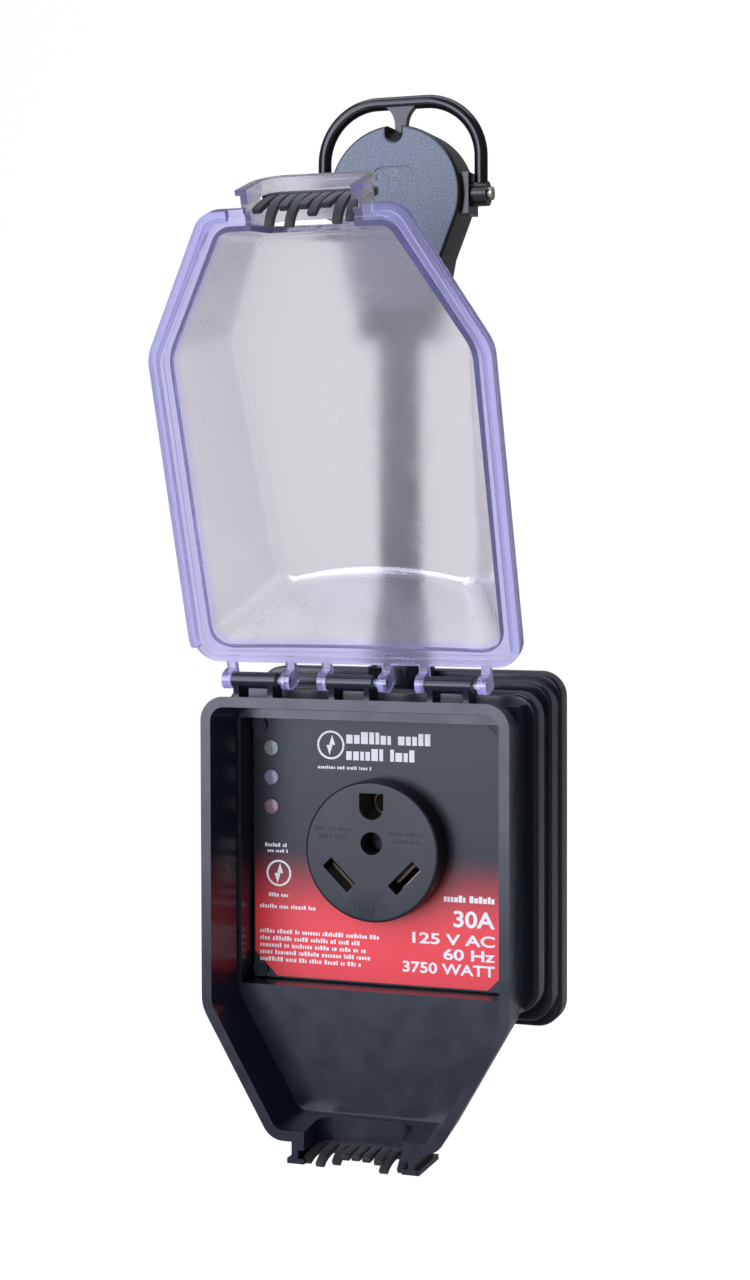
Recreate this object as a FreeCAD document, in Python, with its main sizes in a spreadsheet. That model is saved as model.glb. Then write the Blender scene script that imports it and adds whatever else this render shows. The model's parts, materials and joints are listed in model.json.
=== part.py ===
"""Portable 30 A surge protector for a caravan supply: a cord and plug, a box with an outlet, a clear lid.

Millimetres.  +Z is up, the open front faces -Y and +X is to the right of a person who faces the outlet.
The origin is the centre of the plug's blade face, because the whole part hangs from its plug in use.
Three local frames are used.  The plug frame is the row's own frame.  The box frame has its origin at the
top middle of the box's front rim.  The lid frame has its origin on the hinge axis, with the lid closed.
"""
import FreeCAD, Part
import Sketcher
import math
import os
import re
from FreeCAD import Placement, Rotation, Vector

doc = FreeCAD.newDocument("surge_protector_plug")
sheet = doc.addObject("Spreadsheet::Sheet", "Sizes")

# Driving dimensions: alias, value, what it is.
DIMENSIONS = [
    ("rim_forward", 70.5, "plug's blade face to the box's front rim, along Y"),
    ("rim_drop", 193.0, "plug's centre down to the top of the box's rim"),
    # box, front tray
    ("tray_half", 61.0, "half the width over the rim"),
    ("tray_straight", 118.4, "height of the parallel sides"),
    ("tray_height", 167.3, "height over the rim"),
    ("tray_end_half", 33.0, "half the width of the foot"),
    ("tray_depth", 24.5, "rim to the back of the lower tray"),
    ("tray_floor", 21.5, "rim to the floor of the lower tray"),
    ("tray_wall", 4.0, "width of the rim"),
    ("tray_draft", 6.0, "draft of the tray's walls, degrees"),
    ("top_round", 9.5, "radius of the rim's top corners"),
    ("knee_round", 15.0, "radius where the sides turn inwards"),
    ("foot_round", 9.0, "radius of the rim's foot corners"),
    ("neck_half", 58.4, "half the width of the wall behind the tray"),
    ("neck_top", 2.6, "drop of that wall's top below the rim's top"),
    ("neck_bottom", 117.6, "drop of that wall's bottom"),
    ("flange_half", 63.3, "half the width of the middle flange"),
    ("flange_top", 1.9, "rise of the middle flange above the rim's top"),
    ("flange_bottom", 119.7, "drop of the middle flange's lower edge"),
    ("flange_front", 30.4, "rim to the front of the middle flange"),
    ("flange_back", 39.0, "rim to the back of the middle flange"),
    ("well_half", 53.6, "half the width of the deep well that holds the panel"),
    ("well_top", 9.8, "drop of the well's top"),
    ("well_bottom", 113.2, "drop of the well's lower edge"),
    ("ledge_half", 49.0, "half the width of the hole behind the panel"),
    ("ledge_top", 18.0, "drop of that hole's top"),
    ("ledge_bottom", 105.0, "drop of that hole's lower edge"),
    # cord port in the tray's foot, and its comb
    ("port_half", 19.4, "half the width of the port"),
    ("port_depth", 18.0, "rim to the back of the port"),
    ("port_round", 6.5, "radius of the port's back corners"),
    ("port_web_half", 24.4, "half the width over the port's side walls"),
    ("port_lip_half", 26.2, "half the width over the port's lower lip"),
    ("port_bottom", 175.5, "drop of the port's lower lip"),
    ("port_lip", 2.0, "thickness of the lower lip"),
    ("slot_deep", 2.4, "depth of the groove that holds a comb"),
    ("comb_thick", 3.0, "thickness of a comb"),
    ("comb_base", 5.0, "width of the band that carries the fingers"),
    ("finger_wide", 3.0, "width of a finger"),
    # hinge
    ("hinge_back", 3.3, "rim plane to the hinge axis"),
    ("hinge_up", 6.3, "rise of the hinge axis above the rim's top"),
    ("pin_r", 1.5, "radius of the lid's snap-in pins"),
    ("pin_gap", 0.06, "radial clearance of the pins in their barrels"),
    ("barrel_r", 3.1, "radius of a hinge barrel"),
    ("lug_r", 3.4, "radius of a lid lug's eye"),
    ("lug_wide", 3.4, "thickness of a lid lug"),
    ("pair_pitch", 38.5, "spacing of the three hinges"),
    ("pair_span", 24.0, "spacing of the two lugs of one hinge"),
    ("lid_open", 161.4, "opened angle of the lid at rest, degrees"),
    # rear case
    ("rear_front", 40.0, "rim to the front of the rear case"),
    ("rear_neck_half", 60.6, "half the width of the rear case's front part"),
    ("rear_neck_top", 0.2, "rise of the front part above the rim's top"),
    ("rear_neck_bottom", 119.0, "drop of the front part's lower edge"),
    ("band_front", 53.0, "rim to the first step of the rear case"),
    ("band_half", 62.4, "half the width at the first step"),
    ("band_top", 4.8, "rise of the first step"),
    ("band_bottom", 127.5, "drop of the first step's lower edge"),
    ("skirt_front", 64.5, "rim to the second step of the rear case"),
    ("skirt_half", 63.3, "half the width at the back"),
    ("skirt_top", 7.1, "rise of the back"),
    ("skirt_bottom", 131.8, "drop of the back's lower edge"),
    ("rear_back", 76.6, "rim to the flat back of the box"),
    ("rear_wall", 3.0, "wall of the rear case"),
    ("case_round", 10.0, "corner radius of the rear case"),
    ("post_r", 4.2, "radius of the posts for the case screws"),
    ("pilot_r", 1.55, "radius of the holes that the screws bite in"),
    # panel, label, outlet
    ("panel_front", 33.0, "rim to the front of the face panel"),
    ("panel_thick", 2.4, "thickness of the face panel"),
    ("panel_half", 53.0, "half the width of the face panel"),
    ("panel_top", 10.4, "drop of the panel's top"),
    ("panel_bottom", 112.6, "drop of the panel's lower edge"),
    ("label_thick", 0.3, "thickness of the printed label"),
    ("label_corner", 9.4, "cut across the label's corners, clear of the screws"),
    ("screw_x", 49.9, "panel screws, from the middle"),
    ("screw_inset", 3.1, "panel screws, in from the panel's top and bottom edges"),
    ("screw_ring_r", 2.9, "radius of the raised ring round each panel screw"),
    ("screw_ring_eye", 2.3, "radius inside that ring"),
    ("screw_ring_tall", 1.6, "height of that ring"),
    ("outlet_drop", 59.9, "drop of the outlet's centre"),
    ("outlet_r", 27.0, "radius of the outlet's face"),
    ("outlet_front", 21.9, "rim to the outlet's face"),
    ("outlet_neck_r", 24.3, "radius of the outlet's body behind the panel"),
    ("outlet_rear", 54.0, "rim to the back of the outlet's body"),
    ("slot_wide", 13.9, "length of a blade slot"),
    ("slot_thick", 4.9, "width of a blade slot"),
    ("slot_round", 4.9, "half the width of the ground slot, and its rounding"),
    ("contact_deep", 8.0, "outlet's face to its contacts"),
    ("screw_deep", 11.2, "outlet's face to the head of its screw"),
    ("hole_gap", 0.5, "clearance of the outlet in the panel"),
    ("blade_x", 13.2, "blade centres, from the middle of a plug or outlet"),
    ("blade_drop", 9.2, "blade centres, below the middle"),
    ("blade_tilt", 45.0, "slant of the blades, degrees"),
    ("ground_up", 17.7, "ground pin's centre, above the middle"),
    ("lens_x", 45.2, "status lights, left of the middle"),
    ("lens_drop", 22.5, "drop of the first status light"),
    ("lens_pitch", 11.5, "spacing of the status lights"),
    ("lens_r", 3.15, "radius of a status lens"),
    ("lamp_r", 2.4, "radius of a status lamp"),
    ("lamp_long", 6.5, "length of a status lamp"),
    # electronics and wires
    ("board_thick", 1.6, "thickness of a circuit board"),
    ("board_half", 46.0, "half the side of the surge board"),
    ("board_foot", 106.0, "drop of the surge board's lower edge"),
    ("pillar_r", 3.0, "radius of the surge board's pillars"),
    ("pillar_tall", 5.4, "height of those pillars"),
    ("varistor_r", 9.0, "radius of a varistor"),
    ("wire_r", 2.0, "radius of an insulated conductor"),
    ("wire_bend", 6.0, "bend radius of a conductor"),
    # lid
    ("lid_gap", 0.4, "clearance between the closed lid and the rim"),
    ("lid_half", 65.2, "half the width over the lid's flange"),
    ("lid_top", 0.6, "rise of the closed lid's flange above the rim's top"),
    ("lid_straight", 120.3, "drop of the lid's knees"),
    ("lid_height", 171.8, "drop of the lid's end"),
    ("lid_end_half", 37.0, "half the width of the lid's end"),
    ("lid_flange", 3.0, "thickness of the lid's flange"),
    ("lid_skirt", 3.0, "overlap of the lid's skirt round the rim"),
    ("skirt_gap", 0.7, "clearance between that skirt and the rim"),
    ("skirt_start", 6.0, "drop of that skirt's upper ends"),
    ("groove_out", 2.6, "lid's edge to the groove in its flange"),
    ("groove_in", 4.6, "lid's edge to that groove's inner side"),
    ("groove_deep", 1.0, "depth of that groove"),
    ("lid_wall", 2.4, "wall of the clear dome"),
    ("dome_inset", 5.4, "lid's edge to the dome's outer wall"),
    ("dome_deep", 37.0, "rim to the dome's face"),
    ("face_root_half", 41.5, "half the width of the dome's face at the hinge end"),
    ("face_knee_half", 48.5, "half the width of the dome's face at the knees"),
    ("face_end_half", 31.0, "half the width of the dome's face at the free end"),
    ("face_root", 14.5, "drop of the dome's face at its hinge corners"),
    ("face_crown", 21.5, "drop of the dome's face in the middle of its hinge end"),
    ("face_knee", 117.5, "drop of the dome's face at the knees"),
    ("face_end", 157.0, "drop of the dome's face at the free end"),
    ("dome_edge", 7.0, "rounding of the dome's face"),
    ("spout_half", 19.4, "half the width inside the lid's spout"),
    ("spout_deep", 24.0, "depth of the spout, from the lid's rim"),
    ("spout_end", 178.6, "drop of the spout's outer lip"),
    ("spout_wall", 2.6, "wall of the spout"),
    # cord and gland
    ("cord_back", 58.0, "rim to the cord's axis"),
    ("cord_r", 8.0, "radius of the power cord"),
    ("gland_r", 12.6, "radius across the gland's flats"),
    ("gland_base", 8.6, "rise of the gland's seat above the rim's top"),
    ("gland_tall", 7.0, "height of the gland's hexagon"),
    ("shank_long", 13.4, "length of the gland's shank below its seat"),
    ("relief_base_r", 11.0, "radius at the foot of the gland's strain relief"),
    ("relief_tip_r", 9.2, "radius at the tip of the strain relief"),
    ("relief_tall", 20.0, "height of the strain relief"),
    # plug
    ("plug_r", 27.0, "radius of the plug's disc"),
    ("plug_thick", 21.0, "thickness of the plug"),
    ("plug_waist", 44.0, "plug's centre down to the collar"),
    ("plug_waist_half", 15.6, "half the width at the bottom of the taper"),
    ("collar_half", 16.4, "half the width of the collar"),
    ("collar_bottom", 55.0, "plug's centre down to the end of the collar"),
    ("collar_deep", 10.0, "half the depth of the collar"),
    ("notch_half", 2.9, "half the width of the notch for the handle's tab"),
    ("notch_deep", 6.2, "depth of that notch"),
    ("plug_edge", 1.6, "rounding of the plug's edges"),
    ("blade_long", 21.0, "length of a blade outside the plug"),
    ("blade_wide", 11.8, "width of a blade"),
    ("blade_thick", 1.9, "thickness of a blade"),
    ("ground_r", 3.55, "radius of the ground pin"),
    ("ground_long", 24.0, "length of the ground pin outside the plug"),
    # handle
    ("grip_r", 2.6, "radius of the handle's rod"),
    ("grip_half", 32.4, "half the width between the middles of the handle's legs"),
    ("grip_leg", 10.5, "length of a leg's straight part above the pivot"),
    ("grip_top", 37.0, "pivot up to the middle of the top bar"),
    ("grip_bar_half", 10.0, "half the length of the top bar's straight part"),
    ("boss_r", 4.8, "radius of a pivot boss"),
    ("boss_in", 29.4, "inner end of a pivot boss, from the middle"),
    ("boss_out", 35.4, "outer end of a pivot boss"),
    ("flat_half", 26.2, "plug's middle to the flats that hold the pivot plates"),
    ("plate_half", 6.5, "half the width of a pivot plate"),
    ("plate_tall", 16.0, "height of a pivot plate"),
    ("pivot_screw_in", 19.0, "inner end of a pivot screw, from the middle"),
    ("pivot_head_r", 2.6, "radius of a pivot screw's head"),
    ("pivot_head_tall", 1.7, "height of a pivot screw's head"),
    ("tab_tip", 25.2, "pivot up to the tip of the tab"),
]
VALUES = {}
for row, (alias, value, meaning) in enumerate(DIMENSIONS, start=1):
    sheet.set(f"A{row}", str(value))
    sheet.setAlias(f"A{row}", alias)
    sheet.set(f"B{row}", meaning)
    VALUES[alias] = value
doc.recompute()

NODES = []


def formula(text):
    """Turn aliases in a formula into references to the sheet."""
    def swap(match):
        word = match.group()
        return f"Sizes.{word}" if word in VALUES else word
    return re.sub(r"[a-z][a-z_]*", swap, str(text))


def bind(item, prop, text):
    """Bind one property to a formula of the driving dimensions."""
    item.setExpression(prop, formula(text))


def place(item, corner, rotation=None):
    """Put an object where three formulas say, turned by an optional rotation."""
    if rotation is not None:
        item.Placement = Placement(Vector(), rotation)
    for letter, text in zip("xyz", corner):
        if text != "0":
            bind(item, f"Placement.Base.{letter}", text)
    return item


PRIMITIVES = ("Part::Box", "Part::Cylinder", "Part::Cone", "Part::Feature")
IN_BOX = ("0", "-rim_forward", "-rim_drop")
IN_LID = ("0", "hinge_back - rim_forward", "hinge_up - rim_drop")


def node(item, label, corner=None, turned=False):
    """Name a finished sub-part and put it from its local frame into the row's frame."""
    if corner is not None and item.TypeId in PRIMITIVES:
        item = group(label + "_piece", [item])
    if corner is not None:
        place(item, corner)
    if turned:
        item.Placement = Placement(Vector(), Rotation(Vector(1, 0, 0), -VALUES["lid_open"]))
        place(item, corner)
    item.Label = label
    NODES.append((label, item))
    return item


# ---------------------------------------------------------------- Part primitives and booleans

def box(name, low, spans):
    item = doc.addObject("Part::Box", name)
    for prop, text in zip(("Length", "Width", "Height"), spans):
        bind(item, prop, text)
    return place(item, low)


TURNS = {
    "x": Rotation(Vector(0, 1, 0), 90),
    "y": Rotation(Vector(1, 0, 0), -90),
    "z": Rotation(),
}


def cylinder(name, radius, length, base, along="z"):
    item = doc.addObject("Part::Cylinder", name)
    bind(item, "Radius", radius)
    bind(item, "Height", length)
    return place(item, base, TURNS[along])


def cone(name, low_radius, high_radius, length, base, along="z"):
    item = doc.addObject("Part::Cone", name)
    bind(item, "Radius1", low_radius)
    bind(item, "Radius2", high_radius)
    bind(item, "Height", length)
    return place(item, base, TURNS[along])


def fuse(name, items):
    item = doc.addObject("Part::MultiFuse", name)
    item.Shapes = items
    item.Refine = True
    return item


def cut(name, base, tools):
    tool = tools[0] if len(tools) == 1 else fuse(name + "_tools", tools)
    item = doc.addObject("Part::Cut", name)
    item.Base = base
    item.Tool = tool
    item.Refine = True
    return item


def group(name, items):
    """Several separate solids that share one node."""
    item = doc.addObject("Part::Compound", name)
    item.Links = items
    return item


def soften(name, base, radius, pick):
    """Part fillet on the edges that a test picks."""
    doc.recompute()
    item = doc.addObject("Part::Fillet", name)
    item.Base = base
    chosen = [i for i, edge in enumerate(base.Shape.Edges, start=1) if pick(edge)]
    item.Edges = [(i, VALUES.get(radius, radius), VALUES.get(radius, radius)) for i in chosen]
    return item


# ---------------------------------------------------------------- sketches and PartDesign bodies

def new_body(label):
    return doc.addObject("PartDesign::Body", label)


def new_sketch(owner, name, role, offset="0"):
    """A sketch on an origin plane of its own body, moved along that plane's normal."""
    sketch = owner.newObject("Sketcher::SketchObject", name)
    plane = next(item for item in owner.Origin.OriginFeatures if item.Role == role)
    sketch.AttachmentSupport = [(plane, "")]
    sketch.MapMode = "FlatFace"
    if offset != "0":
        bind(sketch, "AttachmentOffset.Base.z", offset)
    return sketch


def number(text):
    """The present value of a formula, used as a sketch's first guess."""
    names = dict(VALUES)
    probe = doc.getObject("Probe") or doc.addObject("App::FeaturePython", "Probe")
    if not hasattr(probe, "Result"):
        probe.addProperty("App::PropertyFloat", "Result")
    value = probe.evalExpression(formula(text))
    return float(getattr(value, "Value", value))


def fix_point(sketch, geometry, which, label, pair):
    """Tie a sketch point to two formulas, measured from the sketch's origin."""
    for kind, letter, text in (("DistanceX", "x", pair[0]), ("DistanceY", "y", pair[1])):
        if text is None:
            continue
        index = sketch.addConstraint(Sketcher.Constraint(kind, -1, 1, geometry, which, number(text)))
        sketch.renameConstraint(index, f"{label}{letter}")
        bind(sketch, f"Constraints.{label}{letter}", text)


def draw(sketch, corners, tag=""):
    """A closed outline.  Each corner is (x, y), or (x, y, through x, through y) where an arc that
    passes through the second point leads to the next corner.  Every number is a formula."""
    points = [Vector(number(c[0]), number(c[1]), 0) for c in corners]
    lines = []
    for index, corner in enumerate(corners):
        start = points[index]
        end = points[(index + 1) % len(points)]
        if len(corner) == 2:
            lines.append(sketch.addGeometry(Part.LineSegment(start, end)))
            continue
        through = Vector(number(corner[2]), number(corner[3]), 0)
        clockwise = (through - start).cross(end - through).z < 0
        first, last = (end, start) if clockwise else (start, end)
        arc = sketch.addGeometry(Part.Arc(first, through, last))
        lines.append(arc)
        mark = sketch.addGeometry(Part.Point(through), True)
        fix_point(sketch, mark, 1, f"{tag}m{index}", corner[2:])
        sketch.addConstraint(Sketcher.Constraint("PointOnObject", mark, 1, arc))
    for index, corner in enumerate(corners):
        here = lines[index]
        following = lines[(index + 1) % len(corners)]
        leads = start_end(sketch, here, points[index])
        follows = start_end(sketch, following, points[(index + 1) % len(points)])
        sketch.addConstraint(Sketcher.Constraint("Coincident", here, 3 - leads, following, follows))
        fix_point(sketch, here, leads, f"{tag}p{index}", corner[:2])
    return sketch


def start_end(sketch, geometry, point):
    """1 where the geometry's own start lies on the point, else 2."""
    return 1 if (sketch.Geometry[geometry].StartPoint - point).Length < 1e-6 else 2


def draw_circle(sketch, centre, radius, tag):
    """A circle whose centre and radius are formulas."""
    middle = Vector(number(centre[0]), number(centre[1]), 0)
    index = sketch.addGeometry(Part.Circle(middle, Vector(0, 0, 1), number(radius)))
    fix_point(sketch, index, 3, tag, centre)
    ring = sketch.addConstraint(Sketcher.Constraint("Radius", index, number(radius)))
    sketch.renameConstraint(ring, f"{tag}r")
    bind(sketch, f"Constraints.{tag}r", radius)
    return sketch


def rectangle(left, bottom, right, top):
    return [(left, bottom), (right, bottom), (right, top), (left, top)]


def shield(half, straight, end_half, height, top="0", inset="0"):
    """The box's front outline: parallel sides, then sides that taper to a narrow foot."""
    turn = f"atan(({half} - {end_half}) / ({height} - {straight}))"
    knee = f"{straight} - ({inset}) * tan({turn} / 2)"
    foot = f"{end_half} - ({inset}) * tan(45 deg - {turn} / 2)"
    side = f"{half} - ({inset})"
    end = f"{height} - ({inset})"
    return [(f"-({side})", f"{top}"), (f"-({side})", f"-({knee})"), (f"-({foot})", f"-({end})"),
            (f"{foot}", f"-({end})"), (f"{side}", f"-({knee})"), (f"{side}", f"{top}")]


def extrude(owner, kind, name, sketch, length, reverse=False, taper=None):
    """A pad or a pocket of one sketch."""
    item = owner.newObject(f"PartDesign::{kind}", name)
    item.Profile = sketch
    bind(item, "Length", length)
    item.Reversed = reverse
    if taper is not None:
        bind(item, "TaperAngle", taper)
    sketch.Visibility = False
    return item


def pad_back(owner, name, corners, start, length, taper=None):
    """Material from a front-view outline, from a distance behind the rim backwards."""
    sketch = draw(new_sketch(owner, name + "_outline", "XZ_Plane", f"-({start})"), corners)
    return extrude(owner, "Pad", name, sketch, length, True, taper)


def pocket_back(owner, name, corners, start, length, taper=None):
    """A hollow with a front-view outline, from a distance behind the rim backwards."""
    sketch = draw(new_sketch(owner, name + "_outline", "XZ_Plane", f"-({start})"), corners)
    return extrude(owner, "Pocket", name, sketch, length, False, taper)


def round_edges(owner, name, radius, pick):
    """PartDesign fillet on the edges that a test picks."""
    doc.recompute()
    base = owner.Tip
    chosen = [f"Edge{i}" for i, edge in enumerate(base.Shape.Edges, start=1) if pick(edge)]
    item = owner.newObject("PartDesign::Fillet", name)
    item.Base = (base, chosen)
    bind(item, "Radius", radius)
    return item


def direction(edge):
    """Unit vector along an edge, from its first point to its last."""
    step = edge.lastVertex().Point - edge.firstVertex().Point
    return step.normalize() if step.Length > 1e-6 else step


def runs_along(edge, axis, slack=0.9):
    return abs(getattr(direction(edge), axis)) > slack


def middle(edge):
    return (edge.firstVertex().Point + edge.lastVertex().Point) * 0.5


def in_plane(edge, depth):
    """True for an edge that lies in the upright plane at a depth, which is a formula."""
    return edge.BoundBox.YLength < 1e-3 and abs(edge.BoundBox.YMin - number(depth)) < 1e-3


# ---------------------------------------------------------------- box: front tray

def hinge_centres():
    """Middle of each of the three hinges, as formulas along X."""
    return ["-pair_pitch", "0", "pair_pitch"]


def make_front_tray():
    """Moulded front half: rim and tapered tray, deep well, middle flange, cord port, hinge barrels."""
    tray = new_body("front_tray")
    rim = ("tray_half", "tray_straight", "tray_end_half", "tray_height")
    pad_back(tray, "tray_wall_pad", shield(*rim), "0", "tray_depth", "-tray_draft")
    for name, radius, low, high in (("top_corners", "top_round", -40, 5),
                                    ("knee_corners", "knee_round", -140, -100),
                                    ("foot_corners", "foot_round", -175, -150)):
        round_edges(tray, name, radius,
                    lambda e, low=low, high=high: runs_along(e, "y") and low < middle(e).z < high)
    pad_back(tray, "neck", rectangle("-neck_half", "-neck_bottom", "neck_half", "-neck_top"),
             "tray_floor - 2", "flange_front - tray_floor + 3")
    pad_back(tray, "middle_flange",
             rectangle("-flange_half", "-flange_bottom", "flange_half", "flange_top"),
             "flange_front", "flange_back - flange_front")
    round_edges(tray, "flange_corners", "top_round",
                lambda e: runs_along(e, "y") and abs(middle(e).x) > VALUES["flange_half"] - 0.1)
    round_edges(tray, "flange_front_edge", 1.8,
                lambda e: in_plane(e, "flange_front")
                and max(abs(e.BoundBox.XMax), abs(e.BoundBox.XMin)) > VALUES["neck_half"] + 2)
    # Hollows: the drafted tray, the deep well for the panel, and the hole behind the panel.
    inner = shield(*rim, top="-tray_wall", inset="tray_wall")
    pocket_back(tray, "tray_hollow", inner, "0", "tray_floor", "-tray_draft")
    for name, radius, low, high in (("hollow_top", "top_round - tray_wall", -40, 5),
                                    ("hollow_knees", "knee_round - tray_wall", -140, -100),
                                    ("hollow_foot", "foot_round - tray_wall", -166, -150)):
        round_edges(tray, name, radius, lambda e, low=low, high=high:
                    runs_along(e, "y") and low < middle(e).z < high and middle(e).y < VALUES["tray_floor"]
                    and e.Length > VALUES["tray_floor"] - 3
                    and abs(middle(e).x) < VALUES["tray_half"] - 3.5 + min(0, middle(e).z + 140))
    pocket_back(tray, "well", rectangle("-well_half", "-well_bottom", "well_half", "-well_top"),
                "tray_floor - 1", "panel_front + panel_thick - tray_floor + 1.2")
    pocket_back(tray, "well_opening",
                rectangle("-ledge_half", "-ledge_bottom", "ledge_half", "-ledge_top"),
                "panel_front", "flange_back - panel_front + 1")
    for name, spots, start, length in (("panel_pilots", panel_screw_spots(), "panel_front", "8"),
                                       ("case_pilots", corner_posts(), "flange_back - 9", "10")):
        holes = new_sketch(tray, name + "_outline", "XZ_Plane", f"-({start})")
        for index, spot in enumerate(spots):
            draw_circle(holes, spot, "pilot_r", f"s{index}")
        extrude(tray, "Pocket", name, holes, length)
    # Cord port: two side walls and a lower lip round a mouth cut through the tray's foot.
    lip = new_sketch(tray, "port_lip_outline", "XY_Plane", "-port_bottom")
    draw(lip, rectangle("-port_lip_half", "0", "port_lip_half", "tray_depth - 1"))
    extrude(tray, "Pad", "port_lip_pad", lip, "port_lip")
    web = new_sketch(tray, "port_web_outline", "XY_Plane", "-port_bottom + 0.5")
    draw(web, rectangle("-port_web_half", "0", "port_web_half", "tray_depth - 2"))
    extrude(tray, "Pad", "port_web", web, "port_bottom - tray_height + 2")
    mouth = new_sketch(tray, "port_mouth_outline", "XY_Plane", "-port_bottom - 1")
    draw(mouth, rectangle("-port_half", "-1", "port_half", "port_depth"))
    extrude(tray, "Pocket", "port_mouth", mouth, "port_bottom - tray_height + tray_wall + 6", True)
    slot = new_sketch(tray, "comb_slot_outline", "XY_Plane", "-port_bottom + port_lip")
    draw(slot, rectangle("-port_half - slot_deep", "-1", "port_half + slot_deep", "port_depth + slot_deep"))
    extrude(tray, "Pocket", "comb_slot", slot, "comb_thick + 0.2", True)
    round_edges(tray, "port_corners", "port_round",
                lambda e: runs_along(e, "z") and abs(abs(middle(e).x) - VALUES["port_half"]) < 0.01
                and abs(middle(e).y - VALUES["port_depth"]) < 0.01)
    # Hinge: three barrels, each on two ribs that stand on the tray's top wall.
    barrel_axis = ("hinge_back", "hinge_up")
    for index, centre in enumerate(hinge_centres()):
        left = f"{centre} - pair_span / 2 + lug_wide / 2 + 0.4"
        right = f"{centre} + pair_span / 2 - lug_wide / 2 - 2.6"
        for side, start in (("left", f"{left} + 0.8"), ("right", f"{right} - 3.0")):
            rib = new_sketch(tray, f"rib_{side}_{index}_outline", "YZ_Plane", start)
            near, far = "hinge_back - barrel_r + 0.4", "hinge_back + barrel_r + 4"
            draw(rib, rectangle(near, "-3", far, "hinge_up"), "r")
            extrude(tray, "Pad", f"rib_{side}_{index}", rib, "2.2")
        barrel = new_sketch(tray, f"barrel_{index}_outline", "YZ_Plane", left)
        draw_circle(barrel, barrel_axis, "barrel_r", "b")
        extrude(tray, "Pad", f"barrel_{index}", barrel, f"{right} - ({left})")
        bore = new_sketch(tray, f"bore_{index}_outline", "YZ_Plane", f"{left} - 0.5")
        draw_circle(bore, barrel_axis, "pin_r + pin_gap", "b")
        extrude(tray, "Pocket", f"bore_{index}", bore, f"{right} - ({left}) + 1", True)
    node(tray, "front_tray", IN_BOX)


# ---------------------------------------------------------------- box: rear case and its seal

def corner_posts():
    """The four case screws, as pairs of formulas for X and Z."""
    return [(f"{side}(neck_half - 3.2)", f"-({drop})")
            for side in ("-", "") for drop in ("neck_top + 3.6", "neck_bottom - 3.6")]


def make_rear_case():
    """Moulded back shell, stepped outwards twice, with posts for the case screws and the cord's boss."""
    case = new_body("rear_case")
    steps = (("neck", "rear_neck", "rear_front", "band_front"),
             ("band", "band", "band_front", "skirt_front"),
             ("skirt", "skirt", "skirt_front", "rear_back"))
    for name, size, start, end in steps:
        outline = rectangle(f"-{size}_half", f"-{size}_bottom", f"{size}_half", f"{size}_top")
        pad_back(case, name, outline, start, f"{end} - {start}")
        round_edges(case, name + "_corners", "case_round",
                    lambda e, start=start, end=end: runs_along(e, "y")
                    and abs(middle(e).y - (number(start) + number(end)) / 2) < 0.5
                    and abs(e.Length - number(end) + number(start)) < 0.5)
    for name, start, radius, inner in (("band_edge", "band_front", 1.6, "rear_neck"),
                                       ("skirt_edge", "skirt_front", 1.1, "band"),
                                       ("back_edge", "rear_back", 4.0, "rear_neck")):
        round_edges(case, name, radius,
                    lambda e, start=start, inner=inner: in_plane(e, start) and reaches_past(e, inner))
    boss = new_sketch(case, "gland_boss_outline", "XY_Plane", "-4")
    draw_circle(boss, ("0", "cord_back"), "gland_r + 0.6", "g")
    extrude(case, "Pad", "gland_boss", boss, "gland_base + 4")
    pocket_back(case, "inside",
                rectangle("-rear_neck_half + rear_wall", "-rear_neck_bottom + rear_wall",
                          "rear_neck_half - rear_wall", "rear_neck_top - rear_wall"),
                "rear_front", "rear_back - rear_front - rear_wall")
    posts = new_sketch(case, "posts_outline", "XZ_Plane", "-rear_front")
    for index, spot in enumerate(corner_posts()):
        draw_circle(posts, spot, "post_r", f"s{index}")
    extrude(case, "Pad", "posts", posts, "rear_back - rear_front - 1", True)
    for name, radius, start, length in (("screw_holes", "1.7", "rear_front - 1", "50"),
                                        ("head_holes", "3.3", "rear_back - 5", "6")):
        holes = new_sketch(case, name + "_outline", "XZ_Plane", f"-({start})")
        for index, spot in enumerate(corner_posts()):
            draw_circle(holes, spot, radius, f"s{index}")
        extrude(case, "Pocket", name, holes, length)
    entry = new_sketch(case, "cord_entry_outline", "XY_Plane", "-8")
    draw_circle(entry, ("0", "cord_back"), "relief_tip_r + 0.1", "e")
    extrude(case, "Pocket", "cord_entry", entry, "20", True)
    node(case, "rear_case", IN_BOX)


def reaches_past(edge, inner):
    """True for an edge that lies outside the outline of a narrower step of the rear case."""
    bounds = edge.BoundBox
    return (max(abs(bounds.XMin), abs(bounds.XMax)) > VALUES[f"{inner}_half"] + 0.2
            or bounds.ZMax > VALUES[f"{inner}_top"] + 0.2
            or bounds.ZMin < -VALUES[f"{inner}_bottom"] - 0.2)


def make_case_gasket():
    """Flat rubber ring pinched between the two halves of the box."""
    ring = new_body("case_gasket")
    pad_back(ring, "ring", rectangle("-rear_neck_half + 0.8", "-rear_neck_bottom + 0.8",
                                     "rear_neck_half - 0.8", "rear_neck_top - 0.8"),
             "flange_back", "rear_front - flange_back")
    round_edges(ring, "ring_corners", "case_round - 0.8", lambda e: runs_along(e, "y"))
    pocket_back(ring, "ring_hollow", rectangle("-ledge_half", "-ledge_bottom", "ledge_half", "-ledge_top"),
                "flange_back - 1", "rear_front - flange_back + 2")
    holes = new_sketch(ring, "ring_holes_outline", "XZ_Plane", "-flange_back + 1")
    for index, spot in enumerate(corner_posts()):
        draw_circle(holes, spot, "1.7", f"s{index}")
    extrude(ring, "Pocket", "ring_holes", holes, "3")
    node(ring, "case_gasket", IN_BOX)


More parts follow.
